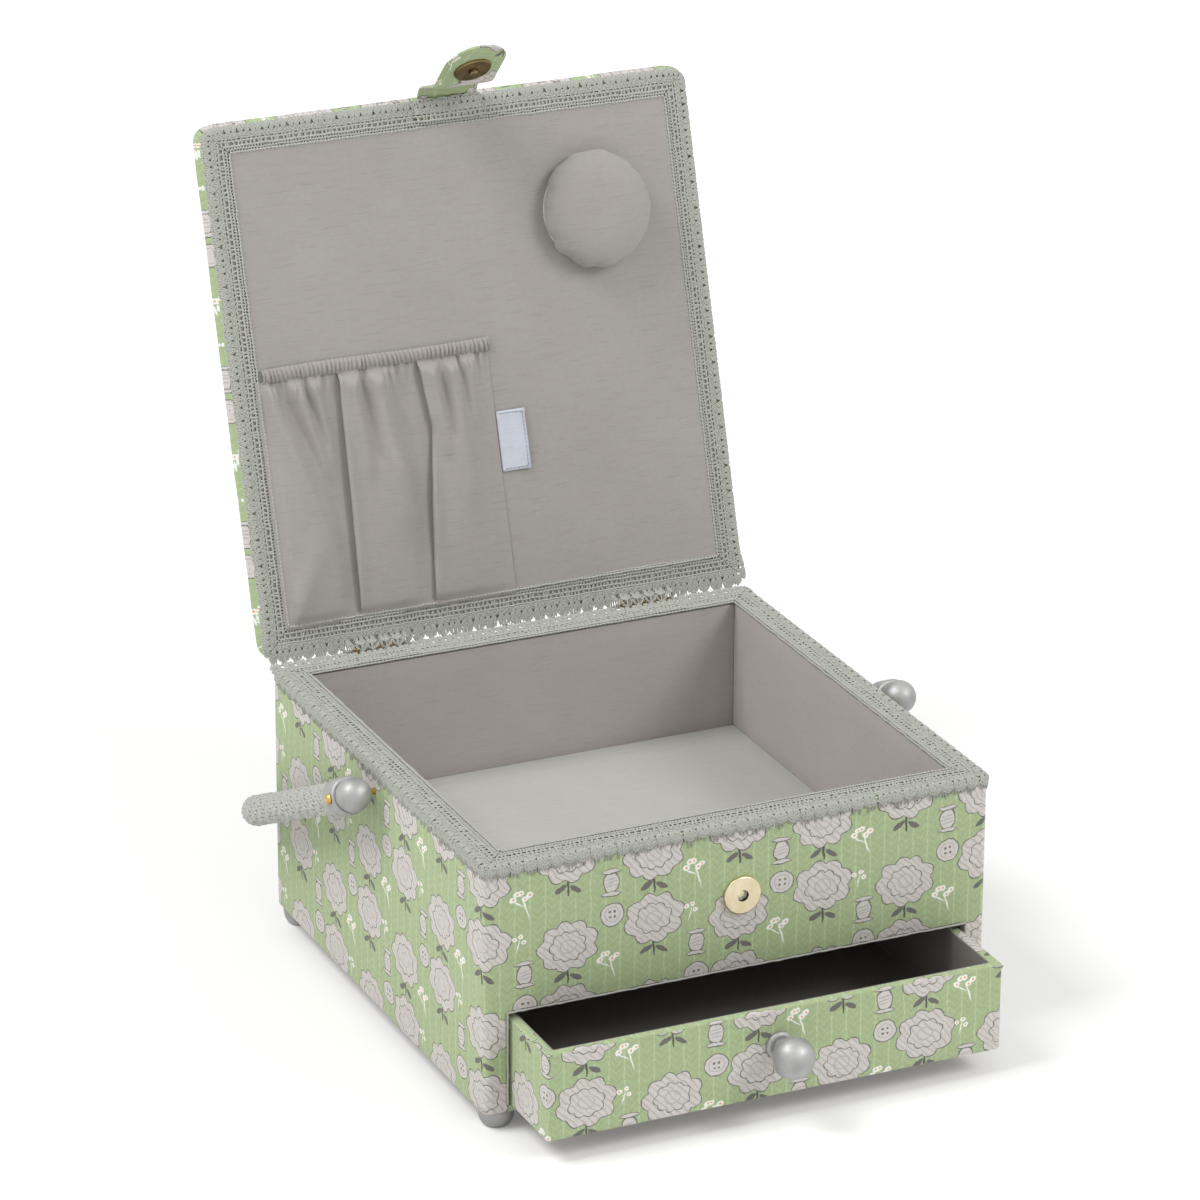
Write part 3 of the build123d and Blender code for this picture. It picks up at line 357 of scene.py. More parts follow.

# %% [markdown]
# ## Plain lining cotton, woven label, card and board
# The linings are a plain taupe cotton with threads about 0.4 mm apart. Such a weave is too
# fine for this view, so it is drawn a little coarser, with painted shade between its threads.
# Broad slow changes of tone are painted light and shade for the way that glued cloth takes the
# light. Single thick threads, the slubs, are drawn longer and darker than real ones. Lid,
# walls and drawer may well share one cloth. Their three tones are set apart to match the
# shade that each lies in: the walls' tone is painted light and the drawer's painted shade, and
# one tone for all would be truer under other light. The label is a close satin weave. The
# boards are grey millboard, which shows short fibres.

# %% Cloths and boards
def make_plain_cloth(name, base, shade, thread, from_map=True):
    material, tree, shader = new_finish(name, 0.86)
    place = cloth_millimetres(tree) if from_map else solid_millimetres(tree)
    threads, slub = add_weave(tree, shader, place, thread, 0.15)
    # Broad slow changes of tone: painted light and shade of glued cloth, mixed with the real slubs.
    painted_light_cloud = add_node(tree, "TexNoise", {"Vector": place, "Scale": 0.02, "Detail": 3.0})
    slub_and_painted_light = add_node(tree, "Math", {0: slub, 1: 0.6, 2: painted_light_cloud}, operation="MULTIPLY_ADD")
    share = add_node(tree, "MapRange", {"Value": slub_and_painted_light, "From Min": 0.6, "From Max": 1.0})
    cloth = add_node(tree, "MixRGB", {0: share, 1: linear(shade), 2: linear(base)})
    # The valleys between the threads are painted darker: painted shade of the weave.
    dim = add_node(tree, "MapRange", {"Value": threads, "From Max": 1.0, "To Min": 0.91, "To Max": 1.03})
    # Slubs: thicker stretches of single threads, about 14 mm long and under a millimetre high.
    stretched = add_node(tree, "VectorMath", {0: place, 1: (0.07, 1.2, 1.0)}, operation="MULTIPLY")
    streak = add_node(tree, "TexNoise", {"Vector": stretched, "Scale": 1.0, "Detail": 2.0})
    slubs = add_node(tree, "MapRange", {"Value": streak, "From Min": 0.56, "From Max": 0.72,
                                        "To Min": 1.01, "To Max": 0.90})
    dim = add_node(tree, "Math", {0: dim, 1: slubs}, operation="MULTIPLY")
    colour = add_node(tree, "VectorMath", {0: cloth, 3: dim}, operation="SCALE")
    fill_sockets(tree, shader, {"Base Color": colour, "Sheen Weight": 0.15, "Sheen Roughness": 0.4,
                                "Specular IOR Level": 0.25})
    return material


taupe_cotton = make_plain_cloth("taupe_lining_cotton", "#A7A29D", "#A29D98", 0.6)
# The walls' cloth is made lighter than the lid's: painted light.
painted_light_wall_cotton = make_plain_cloth("painted_light_wall_taupe", "#B8B2AC", "#B3ADA7", 0.6)
# The drawer's cloth is made darker than the lid's: painted shade for the inside of the drawer.
painted_shade_liner_cotton = make_plain_cloth("painted_shade_liner_taupe", "#8F8A85", "#8A8580", 0.6)
floor_cotton = make_plain_cloth("pale_floor_cotton", "#B9B8B3", "#B5B4AF", 0.6)
label_satin = make_plain_cloth("woven_label_satin", "#CFD3DC", "#C5CAD4", 0.45)
wadding = make_plain_cloth("polyester_wadding", "#E8E6E1", "#DDDBD5", 1.2, from_map=False)


def make_board(name, base, fleck):
    """Pressed paper board: short darker fibres in every direction."""
    material, tree, shader = new_finish(name, 0.9)
    place = solid_millimetres(tree)
    fibres = add_node(tree, "TexNoise", {"Vector": place, "Scale": 0.9, "Detail": 6.0, "Roughness": 0.75})
    share = add_node(tree, "MapRange", {"Value": fibres, "From Min": 0.42, "From Max": 0.62})
    colour = add_node(tree, "MixRGB", {0: share, 1: linear(fleck), 2: linear(base)})
    bump = add_node(tree, "Bump", {"Height": fibres, "Strength": 0.3, "Distance": 0.1 * mm})
    fill_sockets(tree, shader, {"Base Color": colour, "Normal": bump})
    return material


millboard = make_board("grey_millboard", "#A39C90", "#8F887C")
white_card = make_board("white_card", "#E4E2DC", "#D6D3CC")
print("cloths and boards:", len(bpy.data.materials), "materials so far")

# %% [markdown]
# ## Yarn
# The braid and the handle are worked in a soft grey cotton yarn. Each strand is modelled, so
# the material only has to add the twist of its plies, with painted shade in their grooves, and
# the fuzz that softens every edge.

# %% Yarn
def make_yarn(name, base, shade, ply):
    material, tree, shader = new_finish(name, 0.9)
    place = solid_millimetres(tree)
    twist = add_node(tree, "TexWave", {"Vector": place, "Scale": band_scale / ply, "Distortion": 2.5,
                                       "Detail": 2.0}, bands_direction="DIAGONAL")
    fuzz = add_node(tree, "TexNoise", {"Vector": place, "Scale": 1.8, "Detail": 5.0, "Roughness": 0.7})
    # Colour: the twist's grooves are painted shade between the plies, and the fuzz adds a random tone.
    share = add_node(tree, "Math", {0: twist, 1: fuzz}, operation="MULTIPLY")
    share = add_node(tree, "MapRange", {"Value": share, "From Min": 0.05, "From Max": 0.45})
    colour = add_node(tree, "MixRGB", {0: share, 1: linear(shade), 2: linear(base)})
    height = add_node(tree, "Math", {0: twist, 1: fuzz}, operation="ADD")
    bump = add_node(tree, "Bump", {"Height": height, "Strength": 0.5, "Distance": 0.15 * mm})
    fill_sockets(tree, shader, {"Base Color": colour, "Normal": bump, "Sheen Weight": 0.3,
                                "Sheen Roughness": 0.5, "Specular IOR Level": 0.2})
    return material


braid_yarn = make_yarn("grey_crochet_cotton", "#BBBDB5", "#A9ABA3", 0.7)
grip_yarn = make_yarn("grey_plaited_cotton", "#C3C5BF", "#AEB0A9", 0.9)
print("yarns:", braid_yarn.name, grip_yarn.name)

# %% [markdown]
# ## Painted wood and metals
# Feet, knob and handle ends are turned beech under a silver lacquer. Its aluminium flakes
# shine softly, and brush marks, small pits and rubbed spots break the shine. The hinges and
# nails are stamped brass, lightly brushed and dulled. The snap is brass-plated steel: bright
# on the case, a darker tone on the tab.

# %% Painted wood and metals
def make_metal(name, base, stain, roughness, metallic, grain, depth):
    """Metal or metal lacquer whose sheen is broken by fine marks and slow stains."""
    material, tree, shader = new_finish(name, roughness, metallic)
    place = solid_millimetres(tree)
    marks = add_node(tree, "TexNoise", {"Vector": place, "Scale": grain, "Detail": 6.0, "Roughness": 0.65})
    stains = add_node(tree, "TexNoise", {"Vector": place, "Scale": grain * 0.2, "Detail": 3.0})
    share = add_node(tree, "MapRange", {"Value": stains, "From Min": 0.35, "From Max": 0.65})
    colour = add_node(tree, "MixRGB", {0: share, 1: linear(stain), 2: linear(base)})
    dull = add_node(tree, "MapRange", {"Value": marks, "From Min": 0.3, "From Max": 0.7,
                                       "To Min": roughness - 0.06, "To Max": roughness + 0.1})
    bump = add_node(tree, "Bump", {"Height": marks, "Strength": 0.3, "Distance": depth * mm})
    fill_sockets(tree, shader, {"Base Color": colour, "Roughness": dull, "Normal": bump})
    return material


silver_lacquer = make_metal("silver_lacquer_on_beech", "#B2B2B1", "#A0A09F", 0.5, 0.7, 0.55, 0.16)
stamped_brass = make_metal("stamped_brass", "#DDB768", "#B58E45", 0.3, 1.0, 1.4, 0.05)
plated_snap = make_metal("pale_gold_plate", "#E6DCC2", "#DCCEAC", 0.36, 1.0, 0.8, 0.04)
# The stud's plate is given a darker tone than the socket's.
darker_snap_plate = make_metal("darker_brass_plate", "#8C7A55", "#6B5C3E", 0.35, 1.0, 0.7, 0.05)
zinc_steel = make_metal("zinc_plated_steel", "#BFC1C2", "#A3A6A8", 0.35, 1.0, 0.8, 0.05)
ferrite = make_metal("ferrite_magnet", "#4A4846", "#3B3938", 0.6, 0.2, 0.9, 0.05)
print("metals and lacquer ready")

# %% [markdown]
# ## First coat
# Every CAD piece that stays gets its real finish now. The soft ones get one too, and are
# replaced further down.

# %% Assign finishes to the CAD pieces
by_finish = {
    millboard: ["base_board", "front_panel", "back_panel", "left_panel", "right_panel", "shelf_board",
                "lid_board", "drawer_front", "drawer_back", "drawer_left_side", "drawer_right_side",
                "drawer_bottom"],
    silver_lacquer: ["foot_front_left", "foot_front_right", "foot_back_left", "foot_back_right",
                     "drawer_knob", "handle_end_left", "handle_end_right"],
    stamped_brass: ["left_hinge_case_leaf", "right_hinge_case_leaf", "left_hinge_pin", "right_hinge_pin",
                    "case_hinge_nails", "left_hinge_lid_leaf", "right_hinge_lid_leaf", "lid_hinge_nails",
                    "handle_screw_left", "handle_screw_right"],
    plated_snap: ["snap_socket", "snap_rivet"],
    darker_snap_plate: ["snap_stud"],
    zinc_steel: ["foot_screws", "drawer_knob_screw", "snap_washer", "handle_core"],
    ferrite: ["snap_magnet"],
    white_card: ["pin_cushion_card"],
    wadding: ["lid_padding"],
    taupe_cotton: ["front_lining", "back_lining", "left_lining", "right_lining", "lid_lining", "pocket",
                   "pocket_band", "drawer_liner"],
    floor_cotton: ["floor_lining"],
    printed_cotton: ["case_cover", "lid_cover", "drawer_cover", "pin_cushion", "tab_root", "tab_strap"],
    braid_yarn: ["rim_braid", "lid_braid"],
    grip_yarn: ["handle_grip"],
    label_satin: ["seam_label"],
}
for finish, names in by_finish.items():
    for name in names:
        mesh = nodes[name].data
        mesh.materials.clear()
        mesh.materials.append(finish)
print(sum(len(names) for names in by_finish.values()), "pieces have a finish")

# %% [markdown]
# ## Working directions
# The open lid leans back by 17 degrees, so everything on it is easier to lay out in its own
# three directions: across, up the lid from its hinge edge, and out of its lining. Two small
# functions go between those and the box's frame. Lengths below are in millimetres.

# %% The lid's own directions
lean = math.radians(17.0)
lid_axes = np.array([[1, 0, 0], [0, math.sin(lean), math.cos(lean)], [0, -math.cos(lean), math.sin(lean)]])
lid_corner = np.array([0, 130.960, 123.914])


def on_lid(points):
    """From (across, up, out) of the lid to the box's frame."""
    return np.asarray(points, float) @ lid_axes + lid_corner


def off_lid(points):
    """From the box's frame to (across, up, out) of the lid."""
    return (np.asarray(points, float) - lid_corner) @ lid_axes.T


# %% [markdown]
# ## Turning points and faces into pieces
# Every soft piece ends as one mesh with a finish, most with a body to ride on, and the CAD
# pieces it stands for are hidden. Thin tubes come up again and again: yarn, stitches, piping.
# One function sweeps them all in one mesh, since thousands of separate objects would be slow.

# %% Helpers for pieces
def make_piece(name, points, faces, finish, body, stands_for=(), sharp=50):
    """A smooth-shaded mesh from points in millimetres. Edges sharper than the angle stay crisp."""
    mesh = bpy.data.meshes.new(name)
    mesh.from_pydata((np.asarray(points) * mm).tolist(), [], [list(face) for face in faces])
    mesh.validate()
    mesh.shade_smooth()
    mesh.set_sharp_from_angle(angle=math.radians(sharp))
    mesh.materials.append(finish)
    piece = add_object(name, mesh)
    if body:
        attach(piece, body)
    if stands_for:
        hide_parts(*stands_for)
    return piece


def grid_faces(rows, columns, wrap=False, start=0):
    """Quads between the points of a grid, row by row; wrap joins the last column to the first."""
    faces = []
    for i in range(rows - 1):
        low, high = start + i * columns, start + (i + 1) * columns
        for j in range(columns if wrap else columns - 1):
            k = (j + 1) % columns
            faces.append((low + j, low + k, high + k, high + j))
    return faces


def end_caps(rings, sides, start=0):
    """The two faces that close a tube of rings. Its points are numbered from start."""
    last = start + (rings - 1) * sides
    return [tuple(range(start + sides - 1, start - 1, -1)), tuple(range(last, last + sides))]


def sweep_tubes(strands, sides=5):
    """Points and faces of closed tubes. A strand is its centre points, side directions and radii."""
    turn = np.arange(sides) * 2 * math.pi / sides
    points, faces, start = [], [], 0
    for centre, outward, radius in strands:
        centre, outward = np.asarray(centre, float), np.asarray(outward, float)
        count = len(centre)
        if count < 2:
            continue
        along = np.gradient(centre, axis=0)
        along /= np.linalg.norm(along, axis=1)[:, None] + 1e-12
        outward = outward - (outward * along).sum(1)[:, None] * along
        outward /= np.linalg.norm(outward, axis=1)[:, None] + 1e-12
        beside = np.cross(along, outward)
        radius = np.broadcast_to(radius, count)[:, None, None]
        ring = np.cos(turn)[None, :, None] * outward[:, None] + np.sin(turn)[None, :, None] * beside[:, None]
        points.append((centre[:, None] + radius * ring).reshape(-1, 3))
        faces += grid_faces(count, sides, wrap=True, start=start) + end_caps(count, sides, start)
        start += count * sides
    return np.concatenate(points), faces


def points_of(mesh):
    return np.array([v.co for v in mesh.vertices])


def move_points(mesh, points):
    mesh.vertices.foreach_set("co", points.astype(np.float32).ravel())
    mesh.update()


def corners_of(mesh):
    return np.array([loop.vertex_index for loop in mesh.loops])


def write_cloth_map(mesh, flat):
    """Store the map, given in metres of cloth for every corner of every face."""
    mesh.uv_layers.new(name="cloth").data.foreach_set("uv", flat.astype(np.float32).ravel())


def lay_cloth(piece, flatten):
    """Give the piece its cloth map: flatten turns points and normals to millimetres of cloth."""
    mesh = piece.data
    points, corners = points_of(mesh) / mm, corners_of(mesh)
    normals = np.repeat(np.array([p.normal for p in mesh.polygons]),
                        [p.loop_total for p in mesh.polygons], axis=0)
    write_cloth_map(mesh, np.asarray(flatten(points[corners], normals), float) * mm)


def thicken(piece, thickness, offset):
    """Give a single layer of cloth its thickness, in millimetres."""
    layer = piece.modifiers.new("cloth", "SOLIDIFY")
    layer.thickness, layer.offset = thickness * mm, offset


def round_off(piece):
    finer = piece.modifiers.new("rounding", "SUBSURF")
    finer.levels = finer.render_levels = 1


def unit_square(per_side):
    """Points round the outline of a square from -1 to 1, anticlockwise from its near left corner."""
    step = np.linspace(-1, 1, per_side, endpoint=False)
    one = np.ones(per_side)
    sides = ((step, -one), (one, step), (-step, one), (-one, -step))
    return np.concatenate([np.stack(pair, 1) for pair in sides])


def bulge(values, half, power):
    """1 in the middle of a span and 0 at its ends. A high power keeps it full almost to the ends."""
    return np.clip(1 - np.abs(values / half) ** power, 0, 1)


def smooth_step(values, low, high):
    share = np.clip((values - low) / (high - low), 0, 1)
    return share * share * (3 - 2 * share)


print("tube, grid and cloth helpers ready")

# %% [markdown]
# ## Crochet lace braid
# The braid round the rim and the lid is machine crochet, about 15 mm wide: chains of loops
# with four rows of ladder holes between them, then a dense band, and fans every 6.4 mm with a
# small hole in each and a notch between them. A flat strip with a holed texture would look
# like paper beside the photograph. Each strand is a thin tube, drawn on a flat plan of
# (along, across) and then carried round the four sides, over the edge and down, with mitred
# corners.

# %% The plan of the braid
strand_random = np.random.default_rng(7)
fan_pitch, bead_pitch = 6.4, 1.9


def wander(length, knots, size):
    """A slow uneven drift along a strand, as a function of place."""
    at = np.linspace(-length, length, knots)
    values = strand_random.normal(0, size, knots)
    return lambda s: np.interp(s, at, values)


def braid_plan(half, picot):
    """Strands of one straight side: along, across and height over the cloth, with their radius."""
    strands = []
    fans = round(2 * half / fan_pitch)
    pitch = 2 * half / fans
    fine = np.arange(-half, half + 0.01, 0.5)
    steady = np.ones(len(fine))
    # Chains of loops, as beaded tubes: place across, radius, height and size of the beads.
    for across, radius, level, bead in (
            (-0.15, 0.6, 0.8, 0.2), (0.7, 0.7, 1.4, 0.3), (2.1, 0.5, 1.0, 0.2), (3.6, 0.66, 0.8, 0.2),
            (6.1, 0.62, 0.62, 0.22), (8.1, 0.6, 0.66, 0.22), (9.2, 0.55, 0.55, 0.3),
            (10.2, 0.52, 0.6, 0.3), (10.9, 0.5, 0.45, 0.3)):
        drift = wander(half, 70, 0.12)
        beads = radius * (1 - bead + bead * np.cos(2 * math.pi * fine / bead_pitch + across))
        strands.append((fine, across + drift(fine), level * steady, beads))
    # Bars of four ladders: two close ones at the inner edge, then two open ones of uneven pitch.
    for low, high, step, spread, radius in ((0.9, 1.8, 1.45, 0.08, 0.42), (2.4, 3.2, 1.45, 0.08, 0.42),
                                            (3.8, 6.0, 2.1, 0.6, 0.56), (6.5, 7.9, 2.1, 0.6, 0.52)):
        places = np.cumsum(np.clip(strand_random.normal(step, spread, 400), 0.6 * step, 1.9 * step)) - half
        for s in places[places < half]:
            t = np.linspace(low, high, 3)
            slant = strand_random.normal(0, 0.15)
            level = 0.85 if high < 3.5 else 0.52
            strands.append((s + slant * (t - low), t, np.full(3, level), np.full(3, radius)))
    # A dense band of small crossing stitches over thick lying threads.
    for phase, low, high, width in ((0.0, 8.6, 10.6, 1.9), (0.5, 9.2, 11.0, 2.3)):
        turns = fine / width + phase
        wave = 1 - 2 * np.abs(turns - np.floor(turns) - 0.5)
        strands.append((fine, low + (high - low) * wave, 0.75 + 0.2 * np.cos(math.pi * turns), 0.36 * steady))
    for across in (8.7, 9.7, 10.5):
        strands.append((fine, across + wander(half, 60, 0.1)(fine), 0.2 * steady, 0.6 * steady))
    # Fans of threads along the outer edge, each round a small hole, with a notch between them.
    edge_s, edge_t = [], []
    for i in range(fans):
        middle = -half + (i + 0.5) * pitch + strand_random.normal(0, 0.2)
        peak = strand_random.uniform(1.3, 2.0)
        x = np.linspace(-0.485, 0.485, 9) * pitch
        edge = 13.5 + peak * np.cos(math.pi * x / pitch) ** 0.8
        for spot, end in zip(x + strand_random.normal(0, 0.1, 9), edge):
            start = 12.6 if abs(spot) < 0.7 else 10.9
            share = np.linspace(0, 1, 4)
            strands.append((middle + spot * (0.55 + 0.45 * share), start + (end - start) * share,
                            np.array([0.6, 0.8, 0.7, 0.5]), np.full(4, 0.42)))
        turn = np.linspace(0, 2 * math.pi, 9)
        strands.append((middle + 0.95 * np.cos(turn), 11.8 + 0.95 * np.sin(turn),
                        np.full(9, 0.6), np.full(9, 0.4)))
        strands.append((middle + x * 0.85, edge * 0.5 + 6.2, np.full(9, 0.7), np.full(9, 0.42)))
        for spot in np.array([-0.36, -0.12, 0.14, 0.38]) * pitch:
            tip = picot * strand_random.uniform(0.5, 1.4)
            low = 13.3 + peak * math.cos(math.pi * spot / pitch) ** 0.8
            strands.append((middle + spot + np.array([-0.45, 0.0, 0.45]), low + np.array([0, tip, 0]),
                            np.full(3, 0.5), np.full(3, 0.4)))
        edge_s.append(middle + x)
        edge_t.append(edge + strand_random.normal(0, 0.12, 9))
    edge_s = np.maximum.accumulate(np.concatenate(edge_s))
    strands.append((edge_s, np.concatenate(edge_t), np.full(len(edge_s), 0.5), np.full(len(edge_s), 0.46)))
    return strands


print(len(braid_plan(125, 1.0)), "strands on one side")

# %% Carry the plan round the edge
def carry_round(plan, inner_half, edge_half, corner, stretch, bend=0.8):
    """All four sides in plan axes centred on the piece, z up from the cloth."""
    strands = []
    bend_from = edge_half - inner_half - bend
    arc = bend * math.pi / 2
    for side in range(4):
        angle = side * math.pi / 2
        turn = np.array([[math.cos(angle), math.sin(angle), 0],
                         [-math.sin(angle), math.cos(angle), 0], [0, 0, 1]])
        for s, t, h, radius in plan:
            t = t + stretch * np.clip(t - 8, 0, None)
            lap = np.clip((t - bend_from) / bend, 0, math.pi / 2)
            out = np.where(t < bend_from, inner_half + t, edge_half - bend + (bend + h) * np.sin(lap))
            up = np.where(t < bend_from, h, -bend + (bend + h) * np.cos(lap))
            up = up - np.maximum(0, t - bend_from - arc)
            keep = np.abs(s) <= out - 0.15
            if keep.sum() < 2:
                continue
            s, out, up, lap, thick = s[keep], out[keep], up[keep], lap[keep], radius[keep]
            centre = edge_half - corner
            dx, dy = np.abs(s) - centre, out - centre
            round_it = (dx > 0) & (dy > 0)
            share = np.where(round_it, np.maximum(dx, dy) / np.hypot(np.where(round_it, dx, 1), dy), 1)
            s_new = np.where(round_it, np.sign(s) * (centre + dx * share), s)
            out_new = np.where(round_it, centre + dy * share, out)
            lean_x = np.where(round_it, np.sign(s) * dx, 0) * np.sin(lap)
            lean_y = -np.where(round_it, dy, 1) * np.sin(lap)
            points = np.stack([s_new, -out_new, up], 1) @ turn
            normals = np.stack([lean_x, lean_y, np.cos(lap) + 1e-3], 1) @ turn
            strands.append((points, normals, thick))
    return strands


rim_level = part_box("rim_braid")[1].z / mm - 1.6
rim_strands = carry_round(braid_plan(126, 2.2), 111.3, 125.1, 4.0, 0.24)
leaf_lift, hinge_x = 0.75, 70


def over_leaves(points, edge):
    """Which points lie over a hinge leaf, with soft ends."""
    beside = smooth_step(-np.abs(np.abs(points[:, 0]) - hinge_x), -17.0, -14.0)
    return beside * smooth_step(points[:, 1] * edge, 111, 114)


rim_lifted = []
for points, normals, thick in rim_strands:
    # At the back the fans lie flat and stand out over the edge. On the other sides they turn down.
    fallen = np.clip(0.4 - points[:, 2], 0, 6) * smooth_step(points[:, 1], 117, 122)
    level = rim_level + fallen + leaf_lift * over_leaves(points, 1)
    rim_lifted.append((points + np.stack([0 * thick, 0.8 * fallen, level], 1), normals, thick))
rim_lace = make_piece("rim_lace", *sweep_tubes(rim_lifted), braid_yarn, "case", ["rim_braid"])

lid_middle = np.array([0, 125.4, 0])
tab_half = 15.5
strap_top = [(114, 0.0), (115.5, 1.9), (122.6, 2.2), (125.6, 2.9), (127.2, 4.2)]
knuckle = 3.0
lid_strands = []
for points, normals, thick in carry_round(braid_plan(126.5, 0.7), 112.2, 126.5, 7.0, 0.0, 1.2):
    x, y, out = points.T
    # On the other sides the braid is sewn down a little inside the edge.
    inside = 1.5 * smooth_step(y, -122, -110)
    x = x - np.sign(x) * inside * smooth_step(np.abs(x), 117, 124)
    y = y - inside * smooth_step(y, 117, 124)
    # On the hinge side the fans hang straight down past the edge and drape over the knuckles.
    hanging = smooth_step(-y, 118, 123)
    fallen = np.clip(0.4 - out, 0, 6) * hanging
    y = y - fallen * 1.3
    out = out + fallen
    up_lid = y + lid_middle[1]
    over_knuckle = 2.3 + np.sqrt(np.clip(knuckle ** 2 - (up_lid + 2.6) ** 2, 0, None))
    at_hinge = over_leaves(points, -1)
    draped = np.where(up_lid < 0.4, np.maximum(out + leaf_lift, over_knuckle), out + leaf_lift)
    out = out * (1 - at_hinge) + draped * at_hinge
    # On the far side the braid is sewn over the root of the tab.
    at_tab = smooth_step(-np.abs(x), -tab_half - 1.8, -tab_half - 0.2) * smooth_step(y, 112.5, 114.5)
    lifted_y = np.minimum(y, 125.6) + np.clip(y - 125.6, 0, 4) * 0.3 + np.clip(0.4 - out, 0, 3) * 0.3
    strap_level = np.interp(lifted_y, *zip(*strap_top))
    out = out * (1 - at_tab) + (np.maximum(out, 0.45) + strap_level) * at_tab
    y = y * (1 - at_tab) + lifted_y * at_tab
    lid_strands.append((on_lid(np.column_stack([x, y, out]) + lid_middle), normals @ lid_axes, thick))
lid_lace = make_piece("lid_lace", *sweep_tubes(lid_strands), braid_yarn, "lid", ["lid_braid"])
print("braid strands:", len(rim_strands) + len(lid_strands), "points:", len(rim_lace.data.vertices))

# %% [markdown]
# ## Cloth glued over boards
# The covers of case and drawer, and the linings, are cloth glued over boards. Their CAD
# solids have the right folds and openings but only a few large flat faces. Here each one is
# copied, its outer edges are rounded to the radius cloth makes over card, and its faces are
# cut to a grid, so that the cloth can swell a little between its edges as the real one does.

# %% Copying a cloth solid so that it can bend
box_axes = np.eye(3)


def cloth_copy(node_name, piece_name, finish, body, pitch, edge, axes=box_axes, stands_for=()):
    """The node's surface with rounded outer edges, cut to a grid along the given directions."""
    shell = bmesh.new()
    shell.from_mesh(nodes[node_name].data)
    bmesh.ops.remove_doubles(shell, verts=shell.verts, dist=0.002 * mm)
    bmesh.ops.dissolve_limit(shell, angle_limit=math.radians(0.5), verts=shell.verts, edges=shell.edges)

    def is_broad(face):
        return face.calc_area() / max(sum(e.calc_length() for e in face.edges) / 2, 1e-9) > 1.3 * mm

    outer = [e for e in shell.edges if len(e.link_faces) == 2 and e.calc_face_angle_signed() > 0.8
             and all(is_broad(f) for f in e.link_faces)]
    if outer and edge:
        bmesh.ops.bevel(shell, geom=outer, offset=edge * mm, offset_type="OFFSET", segments=3, profile=0.5,
                        affect="EDGES", clamp_overlap=True)
    points = np.array([v.co for v in shell.verts]) / mm
    for axis in axes:
        reach = points @ axis
        steps = max(2, round((reach.max() - reach.min()) / pitch))
        for at in np.linspace(reach.min(), reach.max(), steps + 1)[1:-1]:
            geometry = shell.verts[:] + shell.edges[:] + shell.faces[:]
            bmesh.ops.bisect_plane(shell, geom=geometry, dist=0.01 * mm, plane_co=axis * at * mm,
                                   plane_no=axis)
    bmesh.ops.triangulate(shell, faces=[f for f in shell.faces if len(f.verts) > 4])
    mesh = bpy.data.meshes.new(piece_name)
    shell.to_mesh(mesh)
    shell.free()
    if "custom_normal" in mesh.attributes:
        mesh.attributes.remove(mesh.attributes["custom_normal"])
    mesh.materials.clear()
    mesh.materials.append(finish)
    piece = add_object(piece_name, mesh)
    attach(piece, body)
    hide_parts(*(stands_for or [node_name]))
    return piece


def bend_cloth(piece, move):
    """Move the points of a piece by a function of their place, then shade it smooth again."""
    mesh = piece.data
    move_points(mesh, move(points_of(mesh) / mm) * mm)
    mesh.shade_smooth()
    mesh.set_sharp_from_angle(angle=math.radians(35))


def ripple(points, wavelength, size, seed=0.0):
    """Slow unevenness of glued cloth, in millimetres."""
    return np.array([noise.noise(Vector(p / wavelength) + Vector((seed, 0, 0))) for p in points]) * size


print("cloth copies are cut along the box's or the lid's directions")

# %% [markdown]
# ## The printed cover of the case
# The cover goes round the four walls in one piece, with its seam at the back, so the print
# has to run on round the corners. Its map unrolls the walls: the distance round the box is
# the width of the cloth and the height is its length.

# %% Case cover
case_half, case_corner, bay_top, bay_half = 125.0, 4.0, 49.3, 114.8


def round_the_walls(half, back_from_front, corner, front, shift=(0, 0)):
    """A map for cloth wrapped round four walls. Level faces lie flat in the same print."""
    def flatten(points, normals):
        straight = half - corner
        depth = back_from_front / 2 - corner
        x, y = points[:, 0], points[:, 1] - (front + back_from_front / 2)
        cx, cy = np.clip(x, -straight, straight), np.clip(y, -depth, depth)
        dx, dy = x - cx, y - cy
        away = np.hypot(dx, dy) > 1e-4
        turn = np.where(away, np.arctan2(dx, -dy), np.arctan2(normals[:, 0], -normals[:, 1]))
        level = np.abs(normals[:, 2]) > 0.75
        quarter = np.round(np.arctan2(normals[:, 0], -normals[:, 1]) / (math.pi / 2)).astype(int)
        bent = corner * turn
        behind = corner * np.where(turn < 0, turn + 2 * math.pi, turn)
        around = np.select([quarter == 0, quarter == 1, quarter == -1],
                           [cx + bent, straight + cy + depth + bent, -straight - cy - depth + bent],
                           straight + 2 * depth + (straight - cx) + behind)
        along = points[:, 2]
        flat = np.stack([np.where(level, x, around), np.where(level, along + points[:, 1], along)], 1)
        return flat + shift
    return flatten


def swell_case(points):
    x, y, z = points.T
    height = bulge(z - 59, 61, 5)
    over_bay = smooth_step(z, bay_top, bay_top + 22)
    beside_bay = np.abs(x) > bay_half + 0.4
    in_front = np.where(beside_bay, 0.25 * smooth_step(z, 0, 12), over_bay)
    side, face = height * bulge(y, 124, 6), height * bulge(x, 124, 6)
    face = np.where(y < 0, face * in_front, face)
    uneven = ripple(points, 34, 0.35)
    moved = points.copy()
    outside_x, outside_y = np.abs(x) > 124.2, np.abs(y) > 124.2
    moved[:, 0] += np.where(outside_x, np.sign(x) * side * (1.1 + uneven), 0)
    moved[:, 1] += np.where(outside_y, np.sign(y) * face * (0.7 + uneven), 0)
    return moved


